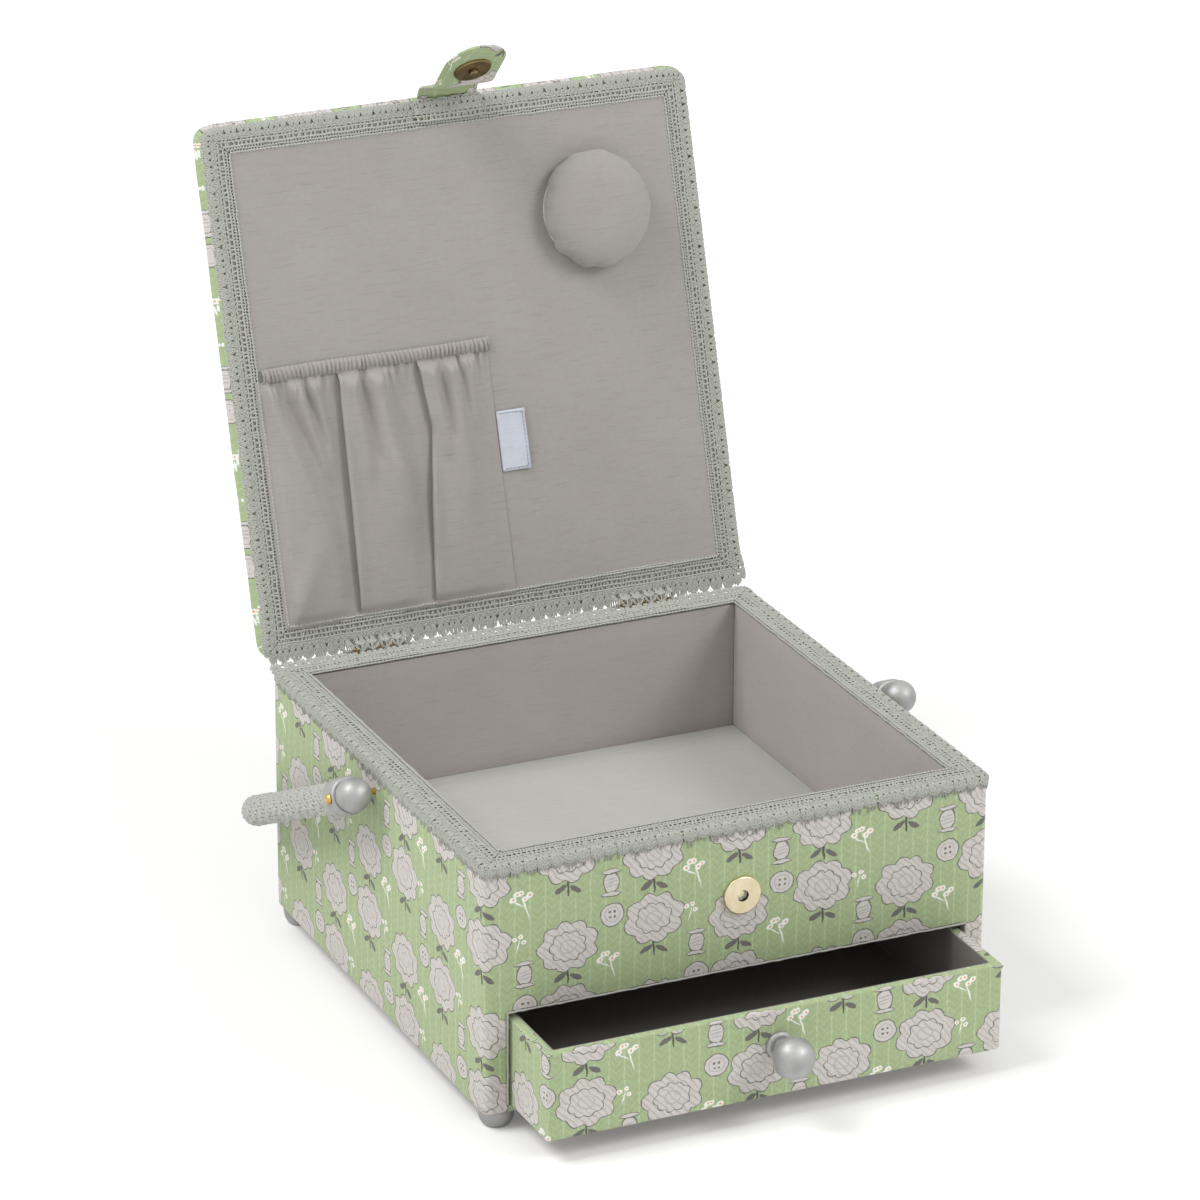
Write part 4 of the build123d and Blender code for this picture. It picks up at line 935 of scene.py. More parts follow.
case_cloth = cloth_copy("case_cover", "case_cloth", printed_cotton, "case", 7.0, 0.9)
bend_cloth(case_cloth, swell_case)
lay_cloth(case_cloth, round_the_walls(case_half, 2 * case_half, case_corner, -case_half))
print("case cloth:", len(case_cloth.data.polygons), "faces")

# %% [markdown]
# ## The drawer's cover and lining
# The drawer is covered like the case, with the cloth turned over the top edges and glued
# inside. Its print runs independently of the case's.

# %% Drawer cover and lining
drawer_low, drawer_high = [np.array(corner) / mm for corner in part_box("drawer_cover")]
drawer_half = (drawer_high[0] - drawer_low[0]) / 2
drawer_depth = drawer_high[1] - drawer_low[1]


def swell_drawer(points):
    moved = points.copy()
    x, y, z = points.T
    front = y < drawer_low[1] + 0.8
    moved[:, 1] -= np.where(front, 0.35 * bulge(z - 24, 21, 4) * bulge(x, drawer_half, 8), 0)
    moved[:, 2] += ripple(points, 26, 0.22, 4.0) * (z > 44)
    return moved


drawer_cloth = cloth_copy("drawer_cover", "drawer_cloth", printed_cotton, "drawer", 8.0, 0.9)
bend_cloth(drawer_cloth, swell_drawer)
drawer_map = round_the_walls(drawer_half, drawer_depth, 1.6, drawer_low[1], shift=(9.0, 26.0))
lay_cloth(drawer_cloth, drawer_map)
drawer_lining = cloth_copy("drawer_liner", "drawer_lining", painted_shade_liner_cotton, "drawer", 20.0, 0)
bend_cloth(drawer_lining, lambda points: points)


def flat_by_face(points, normals):
    """Lay each face flat by its main direction."""
    main = np.abs(normals).argmax(1)
    across = np.where(main == 0, points[:, 1], points[:, 0])
    along = np.where(main == 2, points[:, 1], points[:, 2])
    return np.stack([across, along], 1)


lay_cloth(drawer_lining, flat_by_face)


def frame_ring(inset, level, per_side=40):
    """A rectangle inside the drawer's outline, at one level."""
    ring = unit_square(per_side)
    ring *= (drawer_half - inset, drawer_depth / 2 - inset)
    return np.column_stack([ring[:, 0], ring[:, 1] + drawer_low[1] + drawer_depth / 2,
                            np.full(len(ring), level)])


drawer_top = drawer_high[2]
hem_line = [(-0.12, drawer_top - 1.6), (-0.1, drawer_top - 0.2), (0.5, drawer_top + 0.3),
            (2.2, drawer_top + 0.4), (3.6, drawer_top + 0.35), (4.3, drawer_top), (4.5, drawer_top - 2.2)]
hem_points = np.concatenate([frame_ring(*place) for place in hem_line])
hem_points[:, 2] += ripple(hem_points, 17, 0.18, 6.0)
hem_faces = grid_faces(len(hem_line), 160, wrap=True)
drawer_hem = make_piece("drawer_hem", hem_points, hem_faces, printed_cotton, "drawer", sharp=180)
lay_cloth(drawer_hem, drawer_map)
print("drawer cloth:", len(drawer_cloth.data.polygons), "faces")

# %% [markdown]
# ## Linings of the compartment
# Each wall has a card with thin wadding under its cloth. Wadding makes the face swell very
# slightly and rounds the edges, so the four cards meet in soft lines at the corners.

# %% Compartment linings
def swell_card(name, amount):
    low, high = [np.array(corner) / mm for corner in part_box(name)]
    thin = int((high - low).argmin())
    middle, half = (low + high) / 2, (high - low) / 2

    def move(points):
        inward = -np.sign(middle[thin]) if thin != 2 else 1.0
        share = np.ones(len(points))
        for axis in range(3):
            if axis != thin:
                share *= bulge(points[:, axis] - middle[axis], half[axis], 6)
        moved = points.copy()
        visible = (points[:, thin] - middle[thin]) * inward > 0
        moved[:, thin] += np.where(visible, inward * share * (amount + ripple(points, 40, amount * 0.8)), 0)
        return moved
    return move


edge_random = np.random.default_rng(5)
bay_y, bay_side, bay_ceiling = -125.7, bay_half - 0.3, bay_top - 0.35
corners = [(-bay_side, 4.0), (-bay_side, bay_ceiling), (bay_side, bay_ceiling), (bay_side, 4.0)]
bay_line = np.concatenate([np.linspace(corners[i], corners[i + 1], 90) for i in range(3)])
bay_line += edge_random.normal(0, 0.09, bay_line.shape)
bay_centre = np.column_stack([bay_line[:, 0], np.full(len(bay_line), bay_y), bay_line[:, 1]])
bay_strand = (bay_centre, np.tile([0.0, -1.0, 0.0], (len(bay_line), 1)),
              edge_random.uniform(0.42, 0.6, len(bay_line)))
make_piece("bay_edging", *sweep_tubes([bay_strand]), floor_cotton, "case")
for wall in ("front", "back", "left", "right"):
    card = cloth_copy(f"{wall}_lining", f"{wall}_wall_cloth", painted_light_wall_cotton, "case", 9.0, 0.7)
    bend_cloth(card, swell_card(f"{wall}_lining", 0.35))
    lay_cloth(card, flat_by_face)
floor_cloth = cloth_copy("floor_lining", "floor_cloth", floor_cotton, "case", 10.0, 0.6)
bend_cloth(floor_cloth, swell_card("floor_lining", 0.4))
lay_cloth(floor_cloth, flat_by_face)
print("compartment lined")

# %% [markdown]
# ## The lid's padded top
# The lid is a board with wadding on top, and the printed cloth is pulled over it and glued
# under the braid. Pressure from inside is what gives such a pad its form: a low crown, full
# edges, and corners where the cloth gathers. So the closed form of board and wadding is
# inflated by a short cloth simulation, with its flat side held.

# %% Closed form of the lid
def square_ring(half, corner, level, per_side=42):
    """A rounded square outline about the middle of the lid, at one level."""
    ring = unit_square(per_side) * half
    over = np.abs(ring) - (half - corner)
    both = (over > 0).all(1)
    share = np.where(both, over.max(1) / np.maximum(np.hypot(*np.abs(over).T), 1e-9), 1)
    ring = np.where(both[:, None], np.sign(ring) * (half - corner + over * share[:, None]), ring)
    return np.column_stack([ring, np.full(len(ring), level)])


def lid_form():
    """Rings from under the braid, round the padded edge and in to the middle of the crown."""
    profile = [(60, 0.5, -0.1), (112, 3, -0.1), (124.6, 6.5, -0.1), (125.3, 7, -1.2), (125.6, 7, -3.0),
               (126.6, 7.4, -4.4), (127.3, 7.8, -6.0), (127.3, 7.8, -8.2), (126.2, 7.6, -10.3),
               (123.4, 7, -11.8)]
    crown = [(half, 6 * (half / 118) ** 2 + 0.5, -14.0 + 2.3 * (half / 123) ** 2)
             for half in np.linspace(117.5, 5.5, 21)]
    profile += crown
    rings = [square_ring(*level) for level in profile]
    count = len(rings[0])
    points = np.concatenate(rings + [[[0, 0, -0.1]], [[0, 0, -14.0]]]) + lid_middle
    faces = [tuple(reversed(face)) for face in grid_faces(len(rings), count, wrap=True)]
    low, high = len(points) - 2, len(points) - 1
    last = (len(rings) - 1) * count
    faces += [((k + 1) % count, k, low) for k in range(count)]
    faces += [(last + k, last + (k + 1) % count, high) for k in range(count)]
    return points, faces


# %% Inflating a closed form
def inflate(piece, pressure, most, held, frames=20):
    """Swell a closed piece as stuffed cloth. Held points stay, and none moves further than most."""
    mesh = piece.data
    before = points_of(mesh)
    group = piece.vertex_groups.new(name="held")
    group.add([int(i) for i in np.flatnonzero(held)], 1.0, "REPLACE")
    cloth = piece.modifiers.new("stuffing", "CLOTH")
    cloth.settings.use_pressure = True
    cloth.settings.uniform_pressure_force = pressure
    cloth.settings.vertex_group_mass = "held"
    cloth.settings.effector_weights.gravity = 0
    cloth.settings.tension_stiffness = 30
    cloth.settings.bending_stiffness = 1.0
    cloth.collision_settings.use_self_collision = False
    scene = bpy.context.scene
    cloth.point_cache.frame_end = frames
    for step in range(1, frames + 1):
        scene.frame_set(step)
    after = points_of(piece.evaluated_get(bpy.context.evaluated_depsgraph_get()).data)
    piece.modifiers.remove(cloth)
    scene.frame_set(1)
    way = after - before
    length = np.linalg.norm(way, axis=1)
    way *= np.minimum(1, most * mm / np.maximum(length, 1e-9))[:, None]
    move_points(mesh, before + way)
    print(piece.name, "swelled by up to", round(length.max() / mm, 1), "mm, kept to", most)


lid_points, lid_faces = lid_form()
lid_pad = make_piece("lid_pad", on_lid(lid_points), lid_faces, printed_cotton, None)
inflate(lid_pad, 4.0, 3.0, lid_points[:, 2] > -8.5)
print("lid pad:", len(lid_pad.data.vertices), "points")

# %% [markdown]
# The simulated pad is too smooth round its corners, where real cloth is folded into small
# pleats before it is glued down. These come after the simulation, with the slow unevenness of
# hand stretching, and one subdivision rounds everything.

# %% Pleats, map and body of the lid pad
def dress_lid(points):
    p = off_lid(points)
    x, y, out = p[:, 0], p[:, 1] - lid_middle[1], p[:, 2]
    turn = np.arctan2(np.abs(y) - 117, np.abs(x) - 117)
    near_corner = (smooth_step(np.abs(x), 108, 122) * smooth_step(np.abs(y), 108, 122)
                   * smooth_step(out, -14.5, -9) * smooth_step(-out, 2.5, 5.0))
    pleat = np.cos(turn * 14) * 0.55 * near_corner
    away = np.stack([x, y, 0 * x], 1)
    away /= np.linalg.norm(away, axis=1)[:, None] + 1e-9
    edge = smooth_step(-out, 3.8, 5.5)
    p = p + away * (pleat + ripple(p, 21, 0.35, 2.0) * edge)[:, None]
    p[:, 2] += ripple(p, 38, 0.5, 9.0) * smooth_step(-out, 9, 12)
    return on_lid(p)


def lid_map(points, normals):
    """Cloth laid over the crown and down the sides."""
    p, n = off_lid(points), normals @ lid_axes.T
    drop = 13.5 + p[:, 2]
    return np.stack([-p[:, 0] - n[:, 0] * drop + 12, p[:, 1] + n[:, 1] * drop + 7], 1)


bend_cloth(lid_pad, dress_lid)
round_off(lid_pad)
lay_cloth(lid_pad, lid_map)
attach(lid_pad, "lid")
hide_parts("lid_cover", "lid_padding")

lid_lining = cloth_copy("lid_lining", "lid_lining_cloth", taupe_cotton, "lid", 9.0, 0, axes=lid_axes)


def swell_lining(points):
    p = off_lid(points)
    inside = bulge(p[:, 0], 113, 8) * bulge(p[:, 1] - lid_middle[1], 113, 8)
    p[:, 2] += np.where(p[:, 2] > 1, inside * (0.1 + ripple(p, 45, 0.12)), 0)
    return on_lid(p)


def on_lid_map(points, normals):
    return off_lid(points)[:, :2]


bend_cloth(lid_lining, swell_lining)
lay_cloth(lid_lining, on_lid_map)
print("lid dressed")

# %% [markdown]
# Under the open rows next to the lining the photograph shows dark taupe, and under the outer
# rows the print. A narrow frame of lining cloth does that on the lid and round the rim, and
# covers the hinge leaves.

# %% Turned-out margins of the linings
def make_margin(name, inner_half, width, body, place, edge):
    """A flat frame of lining cloth just under the braid, lifted over the hinge leaves."""
    per_side, shares = 120, (0, 0.5, 0.97, 1)
    rings = [square_ring(inner_half + width * share, 0.3, 0.12, per_side) for share in shares]
    for ring, share in zip(rings, shares):
        over = over_leaves(ring, edge)
        ring[:, 1] += edge * over * share * (12.9 - width)
        ring[:, 2] += 0.85 * over
    points = np.concatenate(rings)
    points[-4 * per_side:, 2] -= 0.3
    piece = make_piece(name, place(points), grid_faces(4, 4 * per_side, wrap=True), taupe_cotton, body)
    lay_cloth(piece, flat_by_face if body == "case" else on_lid_map)


make_margin("rim_margin", 111.7, 8.6, "case", lambda p: p + (0, 0, rim_level), 1)
make_margin("lid_margin", 112.9, 8.6, "lid", lambda p: on_lid(p + lid_middle), -1)
print("linings turned out under the braid")

# %% [markdown]
# ## Pin cushion
# The cushion is a disc of lining cloth gathered over a card and stuffed hard. The gathers
# pull its outline a little out of round, with a few short folds where the thread bites.

# %% Pin cushion
cushion_at = np.array([68.0, 188.9, 2.5])
cushion_profile = [(0.02, 0.0), (8, 0), (16, 0), (23.5, 0.1), (26.4, 0.3), (27.6, 1.9), (28.1, 4.0),
                   (28.0, 6.2), (27.2, 8.4), (25.6, 10.5), (23.2, 12.3), (20.0, 13.9), (16.0, 15.0),
                   (11.5, 15.7), (6, 16.0), (0.02, 16.1)]
around = 72
turn = np.arange(around) * 2 * math.pi / around
form = np.concatenate([np.stack([r * np.cos(turn), r * np.sin(turn), np.full(around, h)], 1)
                       for r, h in cushion_profile])
cushion_faces = grid_faces(len(cushion_profile), around, wrap=True) + end_caps(len(cushion_profile), around)
cushion = make_piece("cushion", on_lid(form + cushion_at), cushion_faces, taupe_cotton, None)
inflate(cushion, 4.0, 1.2, form[:, 2] < 4.5, frames=12)


def gather_cushion(points):
    p = off_lid(points) - cushion_at
    turn = np.arctan2(p[:, 1], p[:, 0])
    reach = np.hypot(p[:, 0], p[:, 1])
    rim = smooth_step(reach, 15, 27) * smooth_step(-p[:, 2], -13.5, -5)
    folds = 0.32 * np.cos(13 * turn + 0.7) + 0.22 * np.cos(22 * turn + 2 * np.sin(turn))
    bites = sum(-depth * np.exp(-((np.angle(np.exp(1j * (turn - math.radians(at))))) / 0.07) ** 2)
                for at, depth in ((158, 1.5), (176, 0.7), (205, 0.8), (232, 1.0), (262, 0.7), (60, 0.5)))
    out_of_round = 0.2 * np.cos(5 * turn + 0.4) + 0.3 * np.cos(3 * turn)
    scale = 1 + rim * (folds + bites + out_of_round) / np.maximum(reach, 1)
    p[:, 0] *= scale * 0.975
    p[:, 1] *= scale * 1.015
    return on_lid(p + cushion_at)


bend_cloth(cushion, gather_cushion)
round_off(cushion)
lay_cloth(cushion, on_lid_map)
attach(cushion, "lid")
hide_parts("pin_cushion")
print("cushion:", len(cushion.data.vertices), "points")

# %% [markdown]
# ## Pocket
# One piece of lining cloth is laid in two knife pleats, sewn down on three sides and drawn up
# at its mouth by an elastic. Its section changes slowly from the flat foot to the crowded
# mouth, so it is built as a grid: across the cloth, then up the lid. Each pleat doubles back
# under the next panel, which stands proud and throws the dark line seen in the photograph.

# %% Pocket cloth
pocket_left, pocket_right, pocket_foot, pocket_mouth = -114.6, 5.0, 11.0, 129.4
lap = 6.0
# Front edges of the two pleats, as (up, across).
pleat_lips = [[(11, -76.2), (82, -74.4), (130, -73.1)],
              [(11, -37.6), (60, -33.6), (96, -28.9), (130, -32.6)]]
# Soft ridges and hollows: from and to as (across, up), width and height.
creases = [((-110, 122), (-82, 30), 4.2, 3.0), ((-103, 126), (-79, 60), 3.0, -2.2),
           ((-96, 127), (-86, 84), 2.8, 2.8), ((-106, 24), (-97, 42), 6.0, 1.8),
           ((-87, 127), (-80, 90), 2.6, 2.6), ((-91, 127), (-84, 98), 2.0, -1.8),
           ((-68, 127), (-64, 84), 3.2, 3.2), ((-55, 127), (-49, 60), 5.0, 3.4),
           ((-61, 128), (-58, 88), 2.2, -2.4), ((-44, 122), (-36, 34), 4.0, -2.4),
           ((-47, 78), (-42, 50), 5.0, 1.8), ((-46, 127), (-42, 106), 2.2, 2.4),
           ((-27, 127), (-23, 88), 3.0, 3.2), ((-16, 127), (-13, 66), 5.0, 3.4),
           ((-21, 128), (-19, 94), 2.0, -2.2), ((-30, 92), (-27, 50), 3.4, -1.2),
           ((-7, 127), (-6, 98), 2.6, 2.4), ((-11, 127), (-10, 104), 2.0, -1.6)]
crease_strength = 1.3
gather_random = np.random.default_rng(17)
gather_places = np.arange(-112, 4, 4.6) + gather_random.normal(0, 0.8, 26)
gather_lengths = gather_random.uniform(2.5, 9.0, 26)


def crease_height(across, up):
    """Sum of the ridges and hollows at points of one height."""
    total = np.zeros(len(across))
    for start, end, width, height in creases:
        start, end = np.array(start, float), np.array(end, float)
        way = end - start
        length = np.hypot(*way)
        way = way / length
        rest = np.column_stack([across, np.full(len(across), up)]) - start
        run = rest @ way
        aside = rest @ np.array([-way[1], way[0]])
        beyond = np.clip(run - length, 0, None) + np.clip(-run, 0, None)
        fade = 1 - 0.55 * np.clip(run / length, 0, 1)
        reach = np.exp(-(aside / width) ** 2 - (beyond / (width * 2.2)) ** 2)
        total += crease_strength * height * fade * reach
    return total


def pocket_section(up):
    """Points across the pocket at one height, as (across, out)."""
    share = (up - pocket_foot) / (pocket_mouth - pocket_foot)
    lips = [float(np.interp(up, *zip(*lip))) for lip in pleat_lips]
    edges = [pocket_left] + lips + [pocket_right]
    rise = math.sin(math.pi * min(share * 0.94 + 0.03, 1)) ** 0.6
    section = []
    for i in range(3):
        start, end = edges[i], edges[i + 1] + (lap if i < 2 else 0)
        across = np.linspace(start, end, 74)
        place = (across - start) / (end - start)
        out = 1.9 + 3.2 * rise * np.sin(math.pi * np.clip(place * 1.12, 0, 1) ** 0.75) ** 0.9
        out = out + crease_height(across, up)
        bite = np.exp(-((across[:, None] - gather_places) / 1.15) ** 2)
        drawn = np.exp(-(pocket_mouth - up) / gather_lengths)
        near_mouth = math.exp(-((pocket_mouth - 5 - up) / 7) ** 2)
        out = out + (1.5 - 2.6 * bite @ drawn) * near_mouth
        out = out - bite @ (2.4 * drawn)
        if i > 0:
            out = out + np.exp(-((across - start) / 4.5) ** 2) * (0.8 + 2.4 * rise)
        if i < 2:
            tucked = smooth_step(across, edges[i + 1] - 12.0, edges[i + 1] + 0.4)
            out = out * (1 - tucked) + 1.45 * tucked
        if i == 0:
            out = 1.25 + (out - 1.25) * smooth_step(across, pocket_left + 2.4, pocket_left + 7)
        if i == 2:
            out = 1.6 + (out - 1.6) * smooth_step(-across, -pocket_right, -pocket_right + 4.5)
        foot = float(smooth_step(np.array([share]), 0.012, 0.05)[0])
        out = 1.25 + (np.maximum(out, 1.45) - 1.25) * (0.06 + 0.94 * foot)
        out = np.minimum(out, 9 - 6.4 * float(smooth_step(np.array([up]), 121, 128.5)[0]))
        section.append(np.stack([across, out], 1))
        if i < 2:
            lip_out = 1.9 + foot * (0.6 + 2.2 * rise)
            back = np.linspace(end, edges[i + 1], 9)[1:-1]
            climb = np.linspace(0, 1, 9)[1:-1] ** 2
            section.append(np.stack([back, 1.55 + (lip_out - 1.55) * climb], 1))
    return np.concatenate(section)


levels = 96  # rows of points from the foot of the pocket to its mouth
heights = np.linspace(pocket_foot, pocket_mouth, levels)
rows = [pocket_section(up) for up in heights]
pocket_points = np.array([[x, up, out] for up, row in zip(heights, rows) for x, out in row])
pocket_cloth = make_piece("pocket_cloth", on_lid(pocket_points), grid_faces(levels, len(rows[0])),
                          taupe_cotton, "lid", ["pocket"], sharp=180)
lengths = np.linalg.norm(np.diff(rows[levels // 2], axis=0), axis=1)
across_cloth = np.concatenate([[0], np.cumsum(lengths)])
flat_pocket = np.array([[a, up] for up in heights - pocket_foot for a in across_cloth])
write_cloth_map(pocket_cloth.data, flat_pocket[corners_of(pocket_cloth.data)] * mm)
thicken(pocket_cloth, 0.4, 0)

# %% [markdown]
# The mouth of the pocket is a casing: the cloth is turned over a flat elastic and bunches
# into narrow upright ripples little more than 2 mm apart. They lean and differ in size, as
# elastic never draws evenly.

# %% Ruched casing of the pocket
ripple_random = np.random.default_rng(11)
band_left, band_right, band_foot, band_top = -110.9, 5.6, 128.4, 135.2
count = 52
centres = np.linspace(band_left, band_right, count + 1) + ripple_random.normal(0, 0.35, count + 1)
sizes = 0.55 + 0.5 * ripple_random.random(count + 1)
columns, levels = 420, 13
band_points = []
for level in np.linspace(0, 1, levels):
    x = np.linspace(band_left, band_right, columns)
    lean_over = (level - 0.5) * 0.9 * np.sin(x / 9)
    index = np.interp(x + lean_over, centres, np.arange(count + 1))
    ridge = np.abs(np.cos(math.pi * index)) ** 0.9
    size = np.interp(index, np.arange(count + 1), sizes)
    roundness = math.sin(math.pi * min(max(level, 0.03), 0.97)) ** 0.45
    out = 1.4 + 1.5 * roundness + ridge * size * 1.9 * roundness
    flare = 0.5 * level ** 3 - 0.5 * (1 - level) ** 3
    up = band_foot + (band_top - band_foot) * level + (ridge - 0.5) * size * flare
    up = up + 0.35 * np.sin(x / 17) * level
    band_points += list(np.stack([x, up, out], 1))
casing = make_piece("pocket_casing", on_lid(band_points), grid_faces(levels, columns), taupe_cotton, "lid",
                    ["pocket_band"], sharp=180)
lay_cloth(casing, on_lid_map)
thicken(casing, 0.5, -1)
print("casing has", count, "ripples")

# %% [markdown]
# ## Label
# A small woven label is caught in the side seam of the pocket. It is left blank. A running
# stitch goes round it, and its free edge lifts a little from the lining.

# %% Blank label
label_low, label_high = np.array([5.35, 69.7]), np.array([19.8, 99.0])
grid_x, grid_u = np.meshgrid(np.linspace(label_low[0], label_high[0], 13),
                             np.linspace(label_low[1], label_high[1], 25))
curl = smooth_step(grid_x, label_low[0] + 5, label_high[0])
out = 1.95 + 0.9 * curl + 0.18 * np.sin(grid_u / 4.0) * curl
label_points = np.stack([grid_x.ravel(), grid_u.ravel(), out.ravel()], 1)
label = make_piece("woven_label", on_lid(label_points), grid_faces(25, 13), label_satin, "lid",
                   ["seam_label"])
lay_cloth(label, on_lid_map)
thicken(label, 0.45, 0)


def label_level(x):
    return 1.95 + 0.9 * smooth_step(np.asarray(x, float), label_low[0] + 5, label_high[0]) + 0.3


stitches = []
inset = 1.3
(left, low), (right, high) = label_low + inset, label_high - inset
seam = np.array([(left, low), (right, low), (right, high), (left, high)])
for start, end in zip(seam[:-1], seam[1:]):
    number = round(np.linalg.norm(end - start) / 2.0)
    for i in range(number):
        ends = [start + (end - start) * (i + share) / number for share in (0.12, 0.4, 0.62, 0.88)]
        centre = np.array([[x, u, label_level(x) + h] for (x, u), h in zip(ends, (-0.1, 0.1, 0.1, -0.1))])
        stitches.append((on_lid(centre), np.tile(lid_axes[2], (4, 1)), np.full(4, 0.17)))
thread_cotton = make_yarn("blue_grey_thread", "#9AA3B5", "#8790A3", 0.5)
label_thread = make_piece("label_stitches", *sweep_tubes(stitches, 4), thread_cotton, "lid")
print(len(stitches), "stitches round the label")

# %% [markdown]
# ## Closing tab
# The tab is a stiffened strap of the printed cotton, sewn under the lid's braid. It rises
# over the edge and bends forward in one smooth curve. Only its free end folds when the snap
# is pressed home; here the strap is built in its open pose only and rides on no body.

# %% Tab strap
tab_lift = math.radians(29)
fold_at = np.array([255.5, 21.0])
tab_heading = np.array([math.sin(tab_lift), math.cos(tab_lift)])
tip_reach = 39.3 - 21.0 + 20.0
guide = np.array([(240.5, 0.9), (248.0, 1.2), (253.0, 2.2), (256.6, 6.0), (257.2, 12.5), (257.0, 18.5)]
                 + [tuple(fold_at + tab_heading * reach) for reach in (3.5, 10, 20, 30, tip_reach)])
gap = np.concatenate([[0], np.cumsum(np.linalg.norm(np.diff(guide, axis=0), axis=1))])
strap_rings, strap_sides = 60, 64
fine = np.linspace(0, gap[-1], strap_rings)


def smooth_path(at, values, wanted):
    """A Catmull-Rom curve through values given at increasing places."""
    slope = np.gradient(values, at, axis=0)
    i = np.clip(np.searchsorted(at, wanted, side="right") - 1, 0, len(at) - 2)
    width = at[i + 1] - at[i]
    t = ((wanted - at[i]) / width)[:, None]
    width = width[:, None]
    return ((2 * t ** 3 - 3 * t ** 2 + 1) * values[i] + (t ** 3 - 2 * t ** 2 + t) * width * slope[i]
            + (3 * t ** 2 - 2 * t ** 3) * values[i + 1] + (t ** 3 - t ** 2) * width * slope[i + 1])


strap_line = smooth_path(gap, guide, fine)
along = np.gradient(strap_line, axis=0)
along /= np.linalg.norm(along, axis=1)[:, None]
face_way = np.stack([along[:, 1], -along[:, 0]], 1)
half_width = tab_half
remaining = gap[-1] - fine
end_round = np.sqrt(np.clip(1 - (np.clip(half_width - remaining, 0, None) / half_width) ** 2, 0.0004, 1))
section = np.linspace(0, 2 * math.pi, strap_sides, endpoint=False)
strap_points = []
for (up, out), (n_up, n_out), share in zip(strap_line, face_way, end_round):
    x = half_width * share * np.sign(np.cos(section)) * np.abs(np.cos(section)) ** 0.42
    half_thick = 0.95 if share > 0.3 else 0.95 * share / 0.3
    thick = np.sign(np.sin(section)) * np.abs(np.sin(section)) ** 0.62 * half_thick
    edge_line = np.exp(-((np.abs(x) - (half_width * share - 2.2)) / 0.45) ** 2)
    thick = thick * (1 - 0.28 * edge_line)
    strap_points += [(a, up + n_up * t, out + n_out * t) for a, t in zip(x, thick)]
strap_faces = grid_faces(strap_rings, strap_sides, wrap=True) + end_caps(strap_rings, strap_sides)
strap = make_piece("tab_cloth", on_lid(strap_points), strap_faces, printed_cotton, None, sharp=180)
flat_strap = np.array([[x, s] for s, share in zip(fine, end_round)
                       for x in half_width * share * np.cos(section)])
write_cloth_map(strap.data, (flat_strap[corners_of(strap.data)] + (30, 5)) * mm)
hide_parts("tab_root", "tab_strap")
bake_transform(strap)
print("strap is", round(gap[-1]), "mm long")

# %% [markdown]
# ## Plaited handle
# The hoop is a wire inside a tube of plaited cotton. A plait is two families of strands that
# wind in opposite directions and pass over and under each other. Modelling each strand gives
# the broken diagonal ridges and the soft uneven outline that a bump pattern can't.

# %% Line of the hoop
hoop_drop = math.radians(25.2)
hoop_along = np.array([0, math.cos(hoop_drop), -math.sin(hoop_drop)])
hoop_face = np.array([0, math.sin(hoop_drop), math.cos(hoop_drop)])
pivot = np.array([0, -2.0, 108.5])
arm_x, bend_radius, grip_start, grip_radius = 139.0, 43.0, 16.0, 7.2
hoop_reach = (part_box("handle_grip")[1].y / mm - grip_radius - pivot[1]) / math.cos(hoop_drop)
arm = hoop_reach - bend_radius - grip_start
bend_length = bend_radius * math.pi / 2
bar = 2 * (arm_x - bend_radius)
hoop_length = 2 * arm + 2 * bend_length + bar


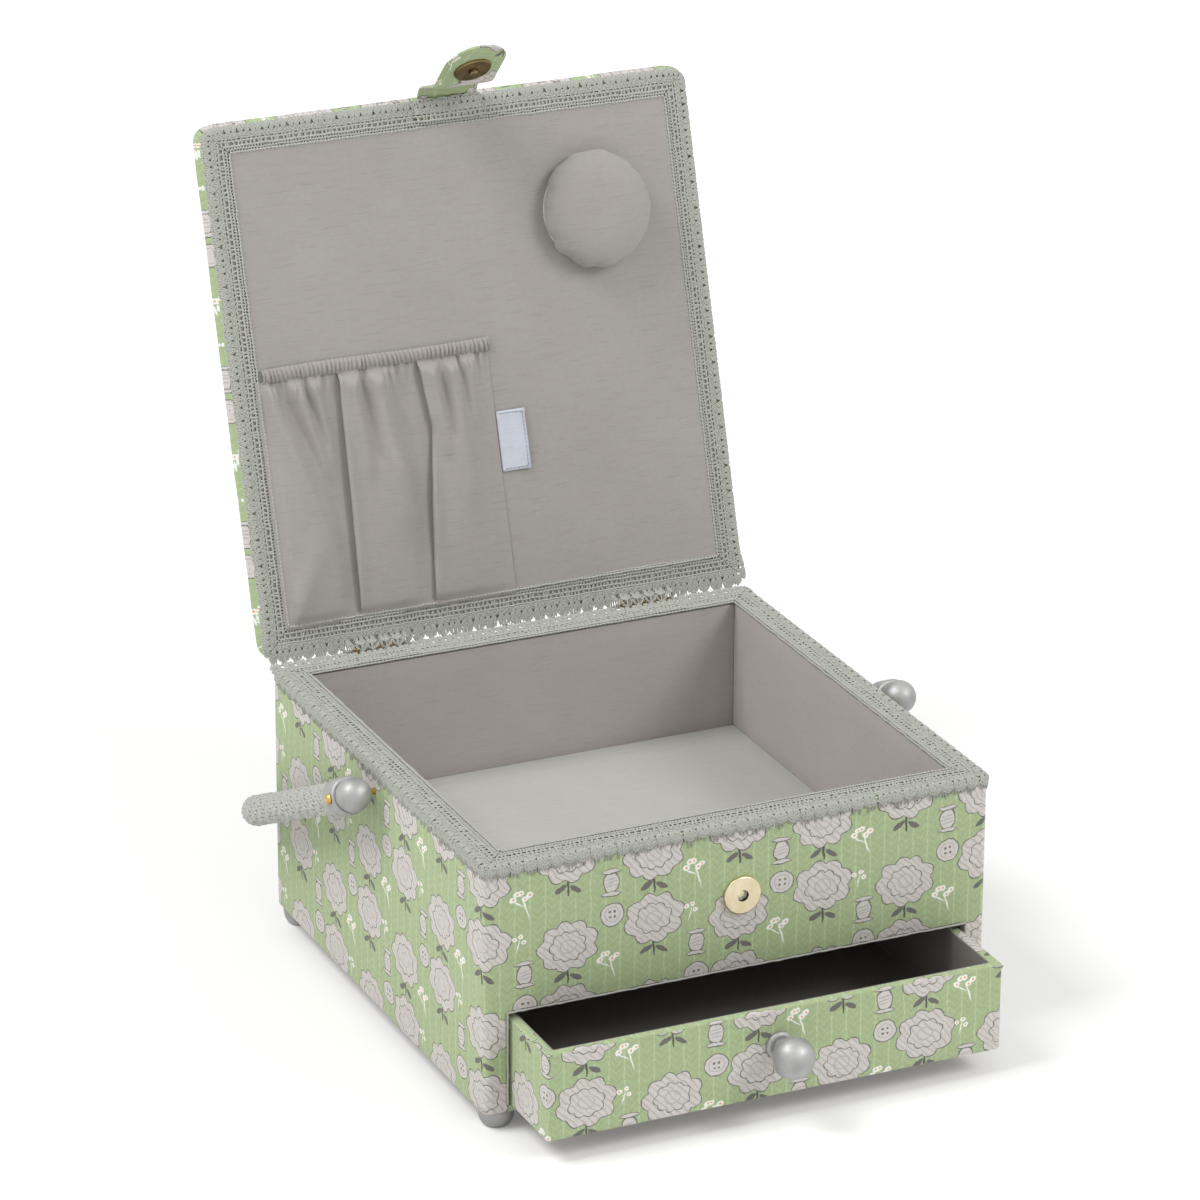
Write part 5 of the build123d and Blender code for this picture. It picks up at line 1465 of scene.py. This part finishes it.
def hoop_point(run):
    """Centre of the grip and its in-plane side direction, for distances along the hoop."""
    run = np.asarray(run, float)
    turn = np.clip((run - arm) / bend_length, 0, 1) * math.pi / 2
    turn = turn + np.clip((run - arm - bend_length - bar) / bend_length, 0, 1) * math.pi / 2
    first = np.clip(run, 0, arm)
    second = np.clip(run - arm - bend_length, 0, bar)
    third = np.clip(run - arm - 2 * bend_length - bar, 0, arm)
    x1 = np.minimum(turn, math.pi / 2)
    x2 = np.maximum(turn - math.pi / 2, 0)
    x = -arm_x + bend_radius * (1 - np.cos(x1)) + second + bend_radius * np.sin(x2)
    y = grip_start + first + bend_radius * np.sin(x1) - bend_radius * (1 - np.cos(x2)) - third
    centre = pivot + x[:, None] * np.array([1, 0, 0]) + y[:, None] * hoop_along
    outward = (-np.cos(turn))[:, None] * np.array([1, 0, 0]) + np.sin(turn)[:, None] * hoop_along
    return centre, outward


# %% Strands of the plait
strand_count, lay_length = 11, 52.0
run = np.arange(-1.2, hoop_length + 1.2, 0.95)
centre, outward = hoop_point(np.clip(run, 0, hoop_length))
along_ends = np.where(run < 0, run, np.where(run > hoop_length, hoop_length - run, 0))
centre = centre + along_ends[:, None] * hoop_along
crossing = lay_length / (2 * strand_count)
plait = []
for way in (1, -1):
    for k in range(strand_count):
        turn = way * 2 * math.pi * run / lay_length + 2 * math.pi * k / strand_count
        weave = way * np.cos(math.pi * run / crossing + math.pi * k)
        uneven = 0.12 * np.sin(run / 5.3 + k * 1.7) + 0.08 * np.sin(run / 1.9 + k)
        side = np.cos(turn)[:, None] * outward + np.sin(turn)[:, None] * hoop_face
        reach = 6.2 + 0.36 * weave + uneven
        plait.append((centre + reach[:, None] * side, side, np.full(len(run), 0.92)))
plaited_grip = make_piece("plaited_grip", *sweep_tubes(plait, 5), grip_yarn, "handle", ["handle_grip"])
inner = [(centre, np.tile(hoop_face, (len(run), 1)), np.full(len(run), 6.1))]
grip_core = make_piece("grip_core", *sweep_tubes(inner, 16), grip_yarn, "handle")
print(2 * strand_count, "strands over", round(hoop_length), "mm")

# %% [markdown]
# ## Colour view
# The dressed box stays within the size of its CAD solids, apart from what cloth may stand
# proud. Colours are shown as written, through the Standard view transform.

# %% Colour view
bpy.context.scene.view_settings.view_transform = "Standard"
